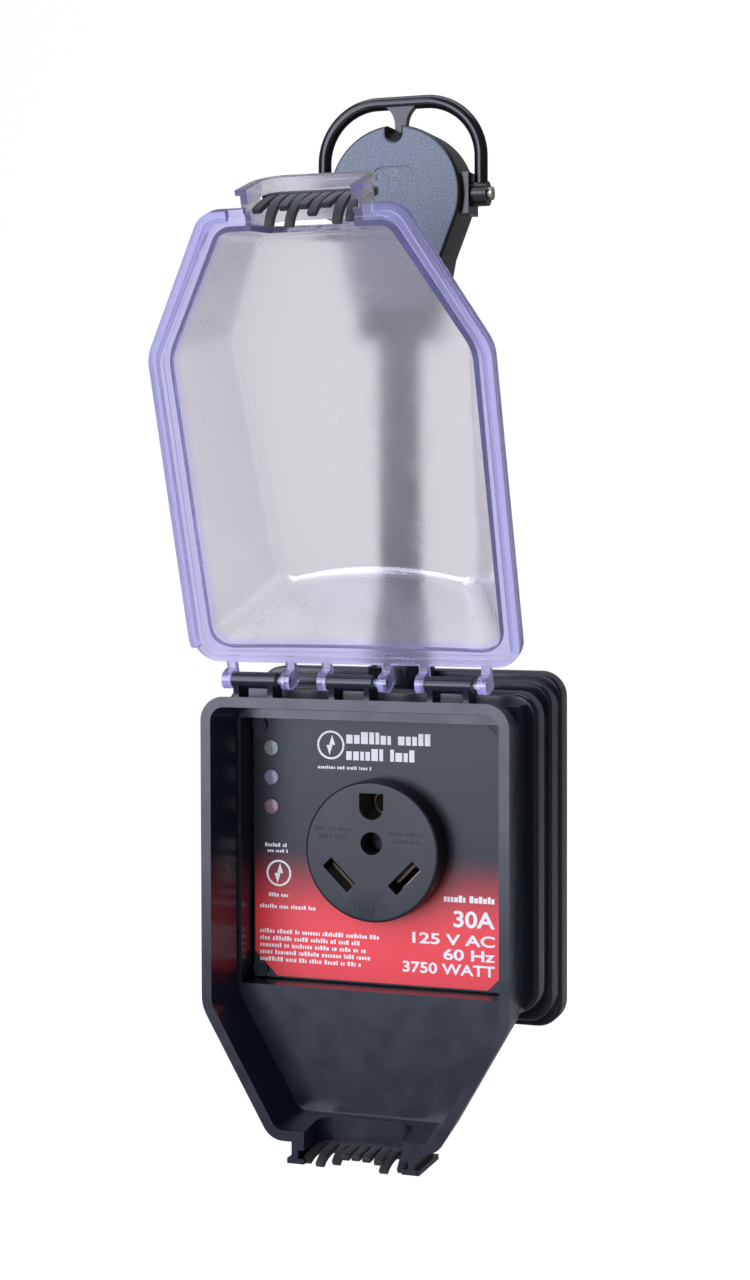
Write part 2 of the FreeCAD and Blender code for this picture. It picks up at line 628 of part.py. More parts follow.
def make_screws(label, spots, head_r, head_front, head_long, shank_r, shank_front, shank_back):
    """Identical pan-head screws that run along Y, one per spot."""
    screws = []
    for index, (across, up) in enumerate(spots):
        head = cylinder(f"{label}_head_{index}", head_r, head_long, (across, head_front, up), "y")
        shank = cylinder(f"{label}_shank_{index}", shank_r, f"{shank_back} - ({shank_front})",
                         (across, shank_front, up), "y")
        screws.append(fuse(f"{label}_{index}", [head, shank]))
    node(group(label, screws), label, IN_BOX)


# ---------------------------------------------------------------- face panel, label and status lights

def panel_screw_spots():
    return [(f"{side}screw_x", f"-({drop})") for side in ("-", "")
            for drop in ("panel_top + screw_inset", "panel_bottom - screw_inset")]


def lens_spots():
    return [("-lens_x", f"-lens_drop - {index} * lens_pitch") for index in range(3)]


def make_face_panel():
    """Plate that closes the well and carries the outlet, the label and the status lights."""
    plate = box("panel_plate", ("-panel_half", "panel_front", "-panel_bottom"),
                ("2 * panel_half", "panel_thick", "panel_bottom - panel_top"))
    holes = [cylinder("panel_outlet_hole", "outlet_neck_r + hole_gap", "panel_thick + 2",
                      ("0", "panel_front - 1", "-outlet_drop"), "y")]
    for index, (across, up) in enumerate(lens_spots()):
        holes.append(cylinder(f"panel_lens_hole_{index}", "lens_r + 0.1", "panel_thick + 2",
                              (across, "panel_front - 1", up), "y"))
    for index, (across, up) in enumerate(panel_screw_spots()):
        holes.append(cylinder(f"panel_screw_hole_{index}", "1.6", "panel_thick + 2",
                              (across, "panel_front - 1", up), "y"))
    rings = []
    for index, (across, up) in enumerate(panel_screw_spots()):
        foot = (across, "panel_front - screw_ring_tall", up)
        ring = cylinder(f"panel_ring_{index}", "screw_ring_r", "screw_ring_tall", foot, "y")
        eye = cylinder(f"panel_ring_eye_{index}", "screw_ring_eye", "screw_ring_tall", foot, "y")
        rings.append(cut(f"panel_boss_{index}", ring, [eye]))
    pierced = cut("panel_pierced", plate, holes)
    node(fuse("face_panel", [pierced] + rings), "face_panel", IN_BOX)


def make_face_label():
    """Thin printed label with its corners cut off clear of the screws."""
    label = new_body("face_label")
    left, right = "-panel_half + 0.6", "panel_half - 0.6"
    low, high = "-panel_bottom + 0.6", "-panel_top - 0.6"
    corners = [(f"{left} + label_corner", low), (f"{right} - label_corner", low),
               (right, f"{low} + label_corner"), (right, f"{high} - label_corner"),
               (f"{right} - label_corner", high), (f"{left} + label_corner", high),
               (left, f"{high} - label_corner"), (left, f"{low} + label_corner")]
    pad_back(label, "sheet", corners, "panel_front - label_thick", "label_thick")
    holes = new_sketch(label, "label_holes_outline", "XZ_Plane", "-panel_front + label_thick + 1")
    draw_circle(holes, ("0", "-outlet_drop"), "outlet_neck_r + hole_gap", "o")
    for index, spot in enumerate(lens_spots()):
        draw_circle(holes, spot, "lens_r + 0.1", f"l{index}")
    extrude(label, "Pocket", "label_holes", holes, "3")
    node(label, "face_label", IN_BOX)


def make_status_lights():
    """Three tinted lenses pressed into the panel, and the small lamps behind them."""
    front = "panel_front - 0.8"
    behind = "panel_front + panel_thick + 1.2"
    lamps = []
    for (across, up), colour in zip(lens_spots(), ("green", "blue", "red")):
        barrel = cylinder(f"lens_barrel_{colour}", "lens_r", "panel_thick + 1.4", (across, front, up), "y")
        lens = soften(f"lens_{colour}", barrel, 0.5, lambda e: in_plane(e, front))
        node(lens, f"status_lens_{colour}", IN_BOX)
        lamps.append(cylinder(f"lamp_{colour}", "lamp_r", "lamp_long", (across, behind, up), "y"))
    node(group("status_lamps", lamps), "status_lamps", IN_BOX)
    corner = ("-lens_x - 3.5", f"{behind} + lamp_long", "-lens_drop - 2 * lens_pitch - 5")
    node(box("lamp_board", corner, ("9", "board_thick", "2 * lens_pitch + 10")), "lamp_board", IN_BOX)


# ---------------------------------------------------------------- outlet

BLADES = (("line", "-", 1), ("neutral", "", -1))


def slanted_box(name, side, turn, deep_start, deep_end, wide, thick):
    """A bar that runs along Y, slanted as a blade is, centred on one blade's place in the box frame."""
    bar = doc.addObject("Part::Box", name)
    bind(bar, "Length", wide)
    bind(bar, "Width", f"{deep_end} - ({deep_start})")
    bind(bar, "Height", thick)
    bar.Placement = Placement(Vector(), Rotation(Vector(0, 1, 0), turn * VALUES["blade_tilt"]))
    along, upright = f"({wide}) / 2", f"({thick}) / 2"
    lean, rise = "cos(blade_tilt)", "sin(blade_tilt)"
    return place(bar, (f"{side}blade_x - {along} * {lean} - {turn} * {upright} * {rise}", deep_start,
                       f"-blade_drop + {turn} * {along} * {rise} - {upright} * {lean}"))


IN_OUTLET = ("0", "-rim_forward", "-rim_drop - outlet_drop")


def make_outlet():
    """Round outlet: moulded body with a U-shaped ground slot, slanted blade slots and a screw well."""
    face = cylinder("outlet_face", "outlet_r", "panel_front - label_thick - outlet_front",
                    ("0", "outlet_front", "0"), "y")
    face = soften("outlet_face_round", face, 1.3, lambda e: in_plane(e, "outlet_front"))
    neck = cylinder("outlet_neck", "outlet_neck_r", "outlet_rear - panel_front + label_thick",
                    ("0", "panel_front - label_thick", "0"), "y")
    deep = ("outlet_front - 1", "outlet_rear + 1")
    slots = [slanted_box(f"slot_{name}", side, turn, *deep, "slot_wide", "slot_thick")
             for name, side, turn in BLADES]
    slots.append(cylinder("slot_ground_round", "slot_round", "outlet_rear - outlet_front + 2",
                          ("0", "outlet_front - 1", "ground_up - 0.4"), "y"))
    slots.append(box("slot_ground_flat", ("-slot_round", "outlet_front - 1", "ground_up - 0.4"),
                     ("2 * slot_round", "outlet_rear - outlet_front + 2", "5.2")))
    slots.append(cylinder("screw_well", "4.4", "screw_deep + 2.8", ("0", "outlet_front - 1", "3.4"), "y"))
    node(cut("outlet_body", fuse("outlet_blank", [face, neck]), slots), "outlet_body", IN_OUTLET)
    head = cylinder("outlet_screw_head", "3.7", "1.8", ("0", "outlet_front + screw_deep", "3.4"), "y")
    slit = box("outlet_screw_slit", ("-4", "outlet_front + screw_deep - 0.2", "3"), ("8", "1", "0.8"))
    node(cut("outlet_screw", head, [slit]), "outlet_screw", IN_OUTLET)
    front = "outlet_front + contact_deep"
    for name, side, turn in BLADES:
        cheeks = slanted_box(f"cheeks_{name}", side, turn, front, "outlet_rear", "slot_wide - 1.3",
                             "slot_thick - 0.4")
        gap = slanted_box(f"cheeks_gap_{name}", side, turn, f"{front} - 1", "outlet_rear - 2.5",
                          "slot_wide - 0.3", "blade_thick + 0.4")
        tab = slanted_box(f"tab_{name}", side, turn, "outlet_rear - 0.1", "outlet_rear + 4.5", "8", "1.2")
        node(fuse(f"contact_{name}", [cut(f"fork_{name}", cheeks, [gap]), tab]), f"outlet_contact_{name}",
             IN_OUTLET)
    sleeve = cylinder("ground_sleeve", "4.7", "outlet_rear - outlet_front - 2 * contact_deep",
                      ("0", "outlet_front + 2 * contact_deep", "ground_up - 0.4"), "y")
    throat = cylinder("ground_throat", "3.7", "outlet_rear - outlet_front - 2 * contact_deep - 3",
                      ("0", "outlet_front + 2 * contact_deep - 1", "ground_up - 0.4"), "y")
    tab = box("tab_ground", ("-3.5", "outlet_rear - 0.1", "ground_up - 1"), ("7", "4.6", "1.2"))
    node(fuse("contact_ground", [cut("ground_socket", sleeve, [throat]), tab]), "outlet_contact_ground",
         IN_OUTLET)
    plate = cylinder("outlet_plate", "23", "2", ("0", "outlet_rear", "0"), "y")
    ports = [slanted_box(f"port_{name}", side, turn, "outlet_rear - 1", "outlet_rear + 3", "9", "2.2")
             for name, side, turn in BLADES]
    ports.append(box("port_ground", ("-4", "outlet_rear - 1", "ground_up - 1.5"), ("8", "4", "2.2")))
    node(cut("outlet_back_plate", plate, ports), "outlet_back_plate", IN_OUTLET)


# ---------------------------------------------------------------- electronics and wires

def make_electronics():
    """Surge board on four pillars, its three varistors and its thermal fuse."""
    inside = "rear_back - rear_wall"
    corner = ("-board_half", f"{inside} - pillar_tall - board_thick", "-board_foot")
    node(box("circuit_board", corner, ("2 * board_half", "board_thick", "2 * board_half")),
         "circuit_board", IN_BOX)
    pillars = [cylinder(f"pillar_{index}", "pillar_r", "pillar_tall",
                        (across, f"{inside} - pillar_tall", up), "y")
               for index, (across, up) in enumerate((("-42", "-18"), ("42", "-18"), ("-42", "-102"),
                                                     ("42", "-102")))]
    node(group("board_pillars", pillars), "board_pillars", IN_BOX)
    discs = [cylinder(f"varistor_{index}", "varistor_r", "4.6", (across, f"{inside} - 11.6", up), "y")
             for index, (across, up) in enumerate((("-35", "-28"), ("-35", "-97"), ("35", "-97")))]
    node(group("varistors", discs), "varistors", IN_BOX)
    node(cylinder("thermal_fuse", "2.2", "15", ("26", f"{inside} - 9.4", "-28"), "x"),
         "thermal_fuse", IN_BOX)


def bent_rod(name, points, radius, corner):
    """A round rod along straight runs that tangent arcs of one radius join."""
    spots = [Vector(*point) for point in points]
    edges = []
    last = spots[0]
    for before, here, after in zip(spots, spots[1:], spots[2:]):
        inward = (here - before).normalize()
        outward = (after - here).normalize()
        turn = inward.getAngle(outward)
        reach = corner * math.tan(turn / 2)
        start = here - inward * reach
        end = here + outward * reach
        bisector = (outward - inward).normalize()
        centre = here + bisector * (corner / math.cos(turn / 2))
        edges.append(Part.LineSegment(last, start).toShape())
        edges.append(Part.Arc(start, centre - bisector * corner, end).toShape())
        last = end
    edges.append(Part.LineSegment(last, spots[-1]).toShape())
    spine = Part.Wire(edges)
    ring = Part.Wire(Part.Circle(spots[0], spots[1] - spots[0], radius).toShape())
    rod = doc.addObject("Part::Feature", name)
    rod.Shape = spine.makePipeShell([ring], True, False)
    return rod


def make_wires():
    """The cord's three conductors, from the gland to the outlet's tabs."""
    start_y = VALUES["cord_back"]
    run_y = VALUES["outlet_rear"] + 7.2
    drop = VALUES["outlet_drop"]
    side = VALUES["blade_x"]
    for name, across in (("line", -1), ("neutral", 1)):
        route = [(5 * across, start_y, -6), (5.2 * across, run_y, -16), (26 * across, run_y, -34),
                 (26 * across, run_y, -drop - 2), ((side + 3) * across, run_y, -drop - 11)]
        node(bent_rod(f"{name}_wire", route, VALUES["wire_r"], VALUES["wire_bend"]), f"{name}_wire", IN_BOX)
    route = [(0, start_y, -6), (0.2, run_y, -16), (0, run_y, -41)]
    node(bent_rod("ground_wire", route, VALUES["wire_r"], VALUES["wire_bend"]), "ground_wire", IN_BOX)
    screws = [cylinder(f"terminal_{index}", "2.4", "2.2", (across, "outlet_rear + 2.4", up), "y")
              for index, (across, up) in enumerate((("-blade_x - 6.4", "-blade_drop - 1.5"),
                                                    ("blade_x + 6.4", "-blade_drop - 1.5"),
                                                    ("6.4", "ground_up")))]
    node(group("terminal_screws", screws), "terminal_screws", IN_OUTLET)


# ---------------------------------------------------------------- gland, cord and combs

def make_gland():
    """Hexagonal gland on the box's top, its locknut inside and the tapered strain relief above it."""
    hexagon = doc.addObject("Part::Prism", "gland_hexagon")
    hexagon.Polygon = 6
    bind(hexagon, "Circumradius", "gland_r")
    bind(hexagon, "Height", "gland_tall")
    place(hexagon, ("0", "cord_back", "gland_base"))
    shank = cylinder("gland_shank", "relief_tip_r", "shank_long",
                     ("0", "cord_back", "gland_base - shank_long"))
    node(fuse("cord_gland", [hexagon, shank]), "cord_gland", IN_BOX)
    relief = cone("relief_cone", "relief_base_r", "relief_tip_r", "relief_tall",
                  ("0", "cord_back", "gland_base + gland_tall"))
    node(relief, "strain_relief", IN_BOX)


def make_cord():
    """Power cord: one straight run from the strain relief to the plug's collar."""
    start = "-rim_drop + gland_base + gland_tall + relief_tall"
    node(cylinder("power_cord", "cord_r", f"-collar_bottom - ({start})",
                  ("0", "cord_back - rim_forward", start)), "power_cord")


FINGERS = 9


def comb_solid(name, back, front, low, inwards):
    """Rubber comb: a band at the back and fingers that reach the port's open side."""
    half = "port_half + slot_deep - 0.4"
    band_low = back if inwards < 0 else f"{back} - comb_base"
    band = box(f"{name}_band", (f"-({half})", band_low, low), (f"2 * ({half})", "comb_base", "comb_thick"))
    parts = [soften(f"{name}_band_round", band, 4.0,
                    lambda e: runs_along(e, "z") and abs(middle(e).y - number(back)) < 0.01
                    and abs(middle(e).x) > 15)]
    for index in range(FINGERS):
        across = f"-port_half + 0.8 + {index} * (2 * port_half - 1.6 - finger_wide) / {FINGERS - 1}"
        near = front if inwards > 0 else f"{back} + 0.5"
        length = f"({back}) - ({front})" if inwards > 0 else f"({front}) - ({back})"
        parts.append(box(f"{name}_finger_{index}", (across, near, low),
                         ("finger_wide", f"{length} - 0.5", "comb_thick")))
    return fuse(name, parts)


def make_combs():
    """Two combs that close the cord port: one in the box's foot, one in the lid's spout."""
    low = "-port_bottom + port_lip + 0.1"
    node(comb_solid("housing_comb", "port_depth + slot_deep - 0.2", "0.4", low, 1), "housing_comb", IN_BOX)
    back = "-hinge_back - lid_gap - spout_deep + spout_wall - 1.6"
    node(comb_solid("lid_comb", back, "-hinge_back - lid_gap - 0.4", f"{low} - hinge_up", -1),
         "lid_comb", IN_LID, True)


# ---------------------------------------------------------------- plug and handle

def make_plug():
    """Plug: disc on a waist, notch for the handle's tab, flats for the pivots, sockets for the blades."""
    plug = new_body("plug_blank")
    shoulder = ("plug_r * cos(20 deg)", "-plug_r * sin(20 deg)")
    corners = [("-plug_waist_half", "-plug_waist"), ("plug_waist_half", "-plug_waist"),
               ("0.72 * plug_r", "-0.9 * plug_r"), (shoulder[0], shoulder[1], "0", "plug_r"),
               (f"-({shoulder[0]})", shoulder[1]), ("-0.72 * plug_r", "-0.9 * plug_r")]
    outline = draw(new_sketch(plug, "plug_outline", "XZ_Plane", "0"), corners)
    extrude(plug, "Pad", "plug_pad", outline, "plug_thick")
    notch = [("-notch_half", "plug_r + 2"), ("-notch_half", "plug_r - notch_deep + notch_half",
                                             "0", "plug_r - notch_deep"),
             ("notch_half", "plug_r - notch_deep + notch_half"), ("notch_half", "plug_r + 2")]
    outline = draw(new_sketch(plug, "notch_outline", "XZ_Plane", "plug_thick + 1"), notch)
    extrude(plug, "Pocket", "notch", outline, "plug_thick + 2")
    round_edges(plug, "plug_rounding", "plug_edge",
                lambda e: e.BoundBox.YLength < 1e-3 and middle(e).z > -VALUES["plug_waist"] + 0.5)
    oval = draw(new_sketch(plug, "oval_outline", "XZ_Plane", "plug_thick + 1"),
                [("-4", "-1", "-10", "5"), ("-4", "11"), ("4", "11", "10", "5"), ("4", "-1")])
    extrude(plug, "Pocket", "oval_recess", oval, "1.5")
    tools = []
    for name, side, turn in BLADES:
        blade = slanted_box(f"{name}_blade", side, turn, "-9", "blade_long", "blade_wide", "blade_thick")
        tip = soften(f"{name}_blade_tip", blade, 0.8,
                     lambda e: abs(middle(e).y - VALUES["blade_long"]) < 0.01 and e.Length > 3)
        node(tip, f"plug_blade_{name}")
        tools.append(tip)
    pin = cylinder("ground_pin_rod", "ground_r", "ground_long + 9", ("0", "-9", "ground_up"), "y")
    pin = soften("ground_pin", pin, 2.2, lambda e: in_plane(e, "ground_long"))
    node(pin, "plug_ground_pin")
    tools.append(pin)
    plates = []
    front, low = "-plug_thick / 2 - plate_half", "-plate_tall / 2"
    for index, (start, outside) in enumerate((("-boss_in + 0.2", "-40"), ("flat_half", "flat_half"))):
        plate = box(f"pivot_plate_{index}", (start, front, low),
                    ("boss_in - 0.2 - flat_half", "2 * plate_half", "plate_tall"))
        hole = cylinder(f"pivot_hole_{index}", "pin_r", "8", (f"{start} - 2", "-plug_thick / 2", "0"), "x")
        plates.append(cut(f"pivot_plate_bored_{index}", plate, [hole]))
        tools.append(box(f"pivot_flat_{index}", (outside, front, low),
                         ("40 - flat_half", "2 * plate_half", "plate_tall")))
    node(group("pivot_plates", plates), "pivot_plates")
    screws = make_handle_screws()
    node(cut("plug_body", plug, tools + screws), "plug_body")
    collar = box("collar_block", ("-collar_half", "-plug_thick / 2 - collar_deep", "-collar_bottom"),
                 ("2 * collar_half", "2 * collar_deep", "collar_bottom - plug_waist"))
    node(soften("plug_collar", collar, 6.5, lambda e: runs_along(e, "z")), "plug_collar")


def make_handle_screws():
    """Two screws that the handle turns on, screwed into the plug's sides."""
    screws = []
    seat = "boss_out + 0.15"
    starts = ((f"-({seat})", f"-({seat}) - pivot_head_tall"), ("pivot_screw_in", seat))
    for index, (shank_start, head_start) in enumerate(starts):
        shank = cylinder(f"pivot_shank_{index}", "pin_r", f"{seat} - pivot_screw_in",
                         (shank_start, "-plug_thick / 2", "0"), "x")
        head = cylinder(f"pivot_head_{index}", "pivot_head_r", "pivot_head_tall",
                        (head_start, "-plug_thick / 2", "0"), "x")
        screws.append(fuse(f"pivot_screw_{index}", [shank, head]))
    node(group("handle_screws", screws), "handle_screws")
    return screws


def make_handle():
    """Pull handle: a bent rod with a flat top, a pivot boss on each leg and a tab for the notch."""
    half = VALUES["grip_half"]
    top = VALUES["grip_top"]
    bend = half - VALUES["grip_bar_half"]
    middle_y = -VALUES["plug_thick"] / 2
    route = [(-half, middle_y, 0), (-half, middle_y, top), (half, middle_y, top), (half, middle_y, 0)]
    rod = bent_rod("handle_rod", route, VALUES["grip_r"], bend)
    bosses = [cylinder(f"boss_{index}", "boss_r", "boss_out - boss_in", (start, "-plug_thick / 2", "0"),
                       "x") for index, start in enumerate(("-boss_out", "boss_in"))]
    tab = new_body("handle_tab")
    corners = [("-7", "grip_top - 1", "-3.4", "grip_top - 4.6"), ("-2.4", "tab_tip + 1.2"),
               ("-1", "tab_tip"), ("1", "tab_tip"),
               ("2.4", "tab_tip + 1.2", "3.4", "grip_top - 4.6"), ("7", "grip_top - 1")]
    outline = draw(new_sketch(tab, "tab_outline", "XZ_Plane", "plug_thick / 2 - 2"), corners)
    extrude(tab, "Pad", "tab_pad", outline, "4")
    bores = [cylinder(f"boss_bore_{index}", "1.5 + pin_gap", "8", (start, "-plug_thick / 2", "0"), "x")
             for index, start in enumerate(("-boss_out - 1", "boss_in - 1"))]
    node(cut("handle_bored", fuse("handle_blank", [rod, tab] + bosses), bores), "carry_handle")


# ---------------------------------------------------------------- lid

def in_lid(corners):
    """Box-frame outline corners, lowered into the lid's frame."""
    return [tuple(f"{text} - hinge_up" if place_in % 2 else text for place_in, text in enumerate(corner))
            for corner in corners]


LID_PLANE = "hinge_back + lid_gap"


def dome_sections(body, name, wall):
    """Rim and face outlines of the dome, drawn 'wall' inside its outer surface."""
    rim = shield("lid_half - dome_inset", "lid_straight - 1", "lid_end_half - dome_inset + 1.6",
                 "lid_height - dome_inset", top="-dome_inset + 2", inset=wall)
    lower, upper = rim[5][1], f"-dome_inset + 2 - ({wall})"
    rim = [(rim[0][0], upper)] + rim[1:5] + [(rim[5][0], upper, "0", f"{upper} - 0.4")]
    face = [("-face_root_half", "-face_root"), ("-face_knee_half", "-face_knee"),
            ("-face_end_half", "-face_end"), ("face_end_half", "-face_end"),
            ("face_knee_half", "-face_knee"), ("face_root_half", "-face_root", "0", "-face_crown")]
    if wall != "0":
        face = [(f"-(face_root_half - {wall})", f"-face_root - {wall}"),
                (f"-(face_knee_half - {wall})", f"-face_knee + 0.1 * {wall}"),
                (f"-(face_end_half - 0.7 * {wall})", f"-face_end + {wall}"),
                (f"face_end_half - 0.7 * {wall}", f"-face_end + {wall}"),
                (f"face_knee_half - {wall}", f"-face_knee + 0.1 * {wall}"),
                (f"face_root_half - {wall}", f"-face_root - {wall}", "0", f"-face_crown - {wall}")]
    depth = f"{LID_PLANE} + dome_deep - ({wall})"
    near = draw(new_sketch(body, name + "_rim", "XZ_Plane", LID_PLANE), in_lid(rim))
    far = draw(new_sketch(body, name + "_face", "XZ_Plane", depth), in_lid(face))
    return near, far


def round_dome(body, prefix, inward, deep):
    """Round the dome's sloping edges and the edge of its face."""
    rim_y = -number(LID_PLANE)
    face_y = rim_y - deep
    corners = (("face_root_half", "case_round"), ("face_knee_half", "knee_round + 5"),
               ("face_end_half", "foot_round"))
    for index, (half, radius) in enumerate(corners):
        round_edges(body, f"{prefix}_slope_{index}", f"{radius} - ({inward})",
                    lambda e, half=half: e.BoundBox.YLength > deep - 6
                    and abs(e.BoundBox.YMin - face_y) < 0.3
                    and abs(max(abs(v.Point.x) for v in e.Vertexes if v.Point.y < rim_y - 20)
                            - VALUES[half]) < 3)
    round_edges(body, f"{prefix}_face_edge", f"dome_edge - ({inward})",
                lambda e: e.BoundBox.YLength < 1e-3 and abs(e.BoundBox.YMin - face_y) < 0.01)


def shield_plate(name, inset, start, thick):
    """A plate of the lid's outline, drawn inset from its edge, with its six corners rounded."""
    body = new_body(name)
    outline = shield("lid_half", "lid_straight", "lid_end_half", "lid_height", f"lid_top - ({inset})",
                     inset)
    sketch = draw(new_sketch(body, f"{name}_outline", "XZ_Plane", start), in_lid(outline))
    extrude(body, "Pad", f"{name}_pad", sketch, thick)
    for corner, radius, low, high in (("top", "top_round + 1", -40, 5),
                                      ("knees", "knee_round", -150, -100),
                                      ("feet", "foot_round", -190, -155)):
        round_edges(body, f"{name}_{corner}", f"{radius} - ({inset})",
                    lambda e, low=low, high=high: runs_along(e, "y") and low < middle(e).z < high)
    return body


def make_groove():
    """Ring that is cut out of the flange's face to leave its groove."""
    outer = shield_plate("groove_outer", "groove_out", f"{LID_PLANE} - 1", "groove_deep + 1")
    inner = shield_plate("groove_inner", "groove_in", f"{LID_PLANE} - 2", "groove_deep + 4")
    return cut("lid_groove", outer, [inner])


def make_lid():
    """Clear lid: domed shell, flange with a skirt, spout for the cord, six lugs with snap-in pins."""
    lid = shield_plate("lid_blank", "0", f"{LID_PLANE} - lid_skirt", "lid_flange + lid_skirt")
    near, far = dome_sections(lid, "dome", "0")
    dome = lid.newObject("PartDesign::AdditiveLoft", "dome")
    dome.Profile = near
    dome.Sections = [far]
    dome.Ruled = True
    round_dome(lid, "dome", "0", VALUES["dome_deep"])
    make_skirt(lid)
    make_spout(lid)
    make_lugs(lid)
    hollow = new_body("lid_hollow")
    near, far = dome_sections(hollow, "hollow", "lid_wall")
    inside = hollow.newObject("PartDesign::AdditiveLoft", "hollow")
    inside.Profile = near
    inside.Sections = [far]
    inside.Ruled = True
    round_dome(hollow, "hollow", "lid_wall", VALUES["dome_deep"] - VALUES["lid_wall"])
    make_mouth(hollow)
    node(cut("clear_lid_shell", lid, [hollow, make_groove()]), "clear_lid", IN_LID, True)


def make_skirt(lid):
    """Cuts the blank back to its flange, but for a lip that laps over the rim's sides and foot."""
    inside = shield("tray_half + skirt_gap", "tray_straight", "tray_end_half + skirt_gap",
                    "tray_height + skirt_gap", top="-skirt_start")
    beside, above, below = "lid_half + 1", "lid_top + 1", "-(lid_height + 1)"
    right = [("port_lip_half + 1", below), ("port_lip_half + 1", inside[3][1]), *inside[3:6],
             (beside, "-skirt_start"), (beside, above)]
    left = [(f"-({x})", z) for x, z in reversed(right)]
    sketch = draw(new_sketch(lid, "skirt_hollow_outline", "XZ_Plane", LID_PLANE), in_lid(left + right))
    extrude(lid, "Pocket", "skirt_hollow", sketch, "lid_skirt")
    for corner, radius, low, high in (("knees", "knee_round", -150, -100),
                                      ("feet", "foot_round", -190, -160)):
        round_edges(lid, f"skirt_{corner}", f"{radius} - skirt_gap",
                    lambda e, low=low, high=high: runs_along(e, "y") and low < middle(e).z < high
                    and abs(e.Length - VALUES["lid_skirt"]) < 0.2
                    and abs(middle(e).x) > VALUES["port_lip_half"] + 3)


def port_block(body, name, half, depth, low, high, start="0"):
    """A block of the cord port's half-width and depth, between two drops below the rim's top."""
    sketch = new_sketch(body, name + "_outline", "XY_Plane", f"-({low}) - hinge_up")
    back = f"-({LID_PLANE})"
    draw(sketch, rectangle(f"-({half})", f"{back} - ({depth})", half, f"{back} - ({start})"))
    extrude(body, "Pad", name, sketch, f"({low}) - ({high})")


def port_edges(half, depth):
    """Test for the upright edges at the back corners of such a block."""
    return lambda e: (runs_along(e, "z") and abs(abs(middle(e).x) - number(half)) < 0.01
                      and abs(middle(e).y + number(f"{LID_PLANE} + {depth}")) < 0.01)


def make_spout(lid):
    """Half of the cord port: a U-shaped spout whose outer end has a lip."""
    wall = ("spout_half + spout_wall", "spout_deep")
    port_block(lid, "spout_walls", *wall, "spout_end - 1", "lid_height - 9")
    round_edges(lid, "spout_outer_corners", "port_round + spout_wall", port_edges(*wall))
    lip = ("spout_half + spout_wall + 1.8", "spout_deep + 1.6")
    port_block(lid, "spout_lip", *lip, "spout_end", "spout_end - 2")
    round_edges(lid, "spout_lip_corners", "port_round + spout_wall + 1.6", port_edges(*lip))


def make_mouth(hollow):
    """The spout's mouth and the groove that holds its comb."""
    mouth = ("spout_half", "spout_deep - spout_wall")
    port_block(hollow, "spout_mouth", *mouth, "spout_end + 1", "lid_height - 12", "-lid_skirt - 1")
    round_edges(hollow, "spout_inner_corners", "port_round", port_edges(*mouth))
    groove = ("spout_half + slot_deep - 0.2", "spout_deep - 0.6")
    port_block(hollow, "lid_comb_slot", *groove, "port_bottom - port_lip",
               "port_bottom - port_lip - comb_thick - 0.2", "-1")


def make_lugs(lid):
    """Six lugs, in pairs, each with a stub pin that snaps into the end of a hinge barrel."""
    front = f"-({LID_PLANE}) - lid_flange"
    back = f"-({LID_PLANE})"
    for pair, centre in enumerate(hinge_centres()):
        for side, sign in (("left", "-"), ("right", "+")):
            start = f"{centre} {sign} pair_span / 2 - lug_wide / 2"
            profile = [(front, "-hinge_up - 1"), (back, "-hinge_up - 1"), (back, "-lug_r"),
                       ("0", "-lug_r", "lug_r", "0"), ("0", "lug_r"), (front, "lug_r")]
            sketch = draw(new_sketch(lid, f"lug_{side}_{pair}_outline", "YZ_Plane", start), profile)
            extrude(lid, "Pad", f"lug_{side}_{pair}", sketch, "lug_wide")
            inner = f"{start} + lug_wide" if sign == "-" else start
            reach = "4.5" if sign == "-" else "6.5"
            pin = new_sketch(lid, f"pin_{side}_{pair}_outline", "YZ_Plane", inner)
            draw_circle(pin, ("0", "0"), "pin_r", "p")
            extrude(lid, "Pad", f"pin_{side}_{pair}", pin, reach, sign == "+")
    round_edges(lid, "lug_tops", 1.6,
                lambda e: runs_along(e, "x") and abs(e.Length - VALUES["lug_wide"]) < 0.01
                and abs(middle(e).z - VALUES["lug_r"]) < 0.01 and middle(e).y < -5)


make_front_tray()
make_rear_case()
make_case_gasket()
make_face_panel()
make_face_label()
make_screws("panel_screws", panel_screw_spots(), "2.1", "panel_front - 1.9", "1.9", "1.4",
            "panel_front - 1", "flange_back - 0.5")
make_screws("case_screws", corner_posts(), "2.9", "rear_back - 5", "3", "1.5",
            "flange_back - 8", "rear_back - 4")
make_status_lights()
make_outlet()
make_electronics()
make_wires()
make_gland()
make_cord()
make_combs()
make_plug()
make_handle()
make_lid()


def check_and_export():
    """Stop on any failed object or bad shape, then write one STEP file per node."""
    doc.recompute()
    failed = [item.Name for item in doc.Objects if set(item.State) & {"Invalid", "Error"}]
    bad = [label for label, item in NODES if item.Shape.isNull() or not item.Shape.isValid()]
    if failed or bad:
        raise RuntimeError(f"failed objects {failed}, bad shapes {bad}")
    os.makedirs("parts", exist_ok=True)
    for label, item in NODES:
        item.Shape.exportStep(f"parts/{label}.step")
        print(label, len(item.Shape.Solids), "solids", round(item.Shape.Volume), "mm3")


check_and_export()
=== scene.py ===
import json
import math
import random

import bpy
from mathutils import Matrix, Vector


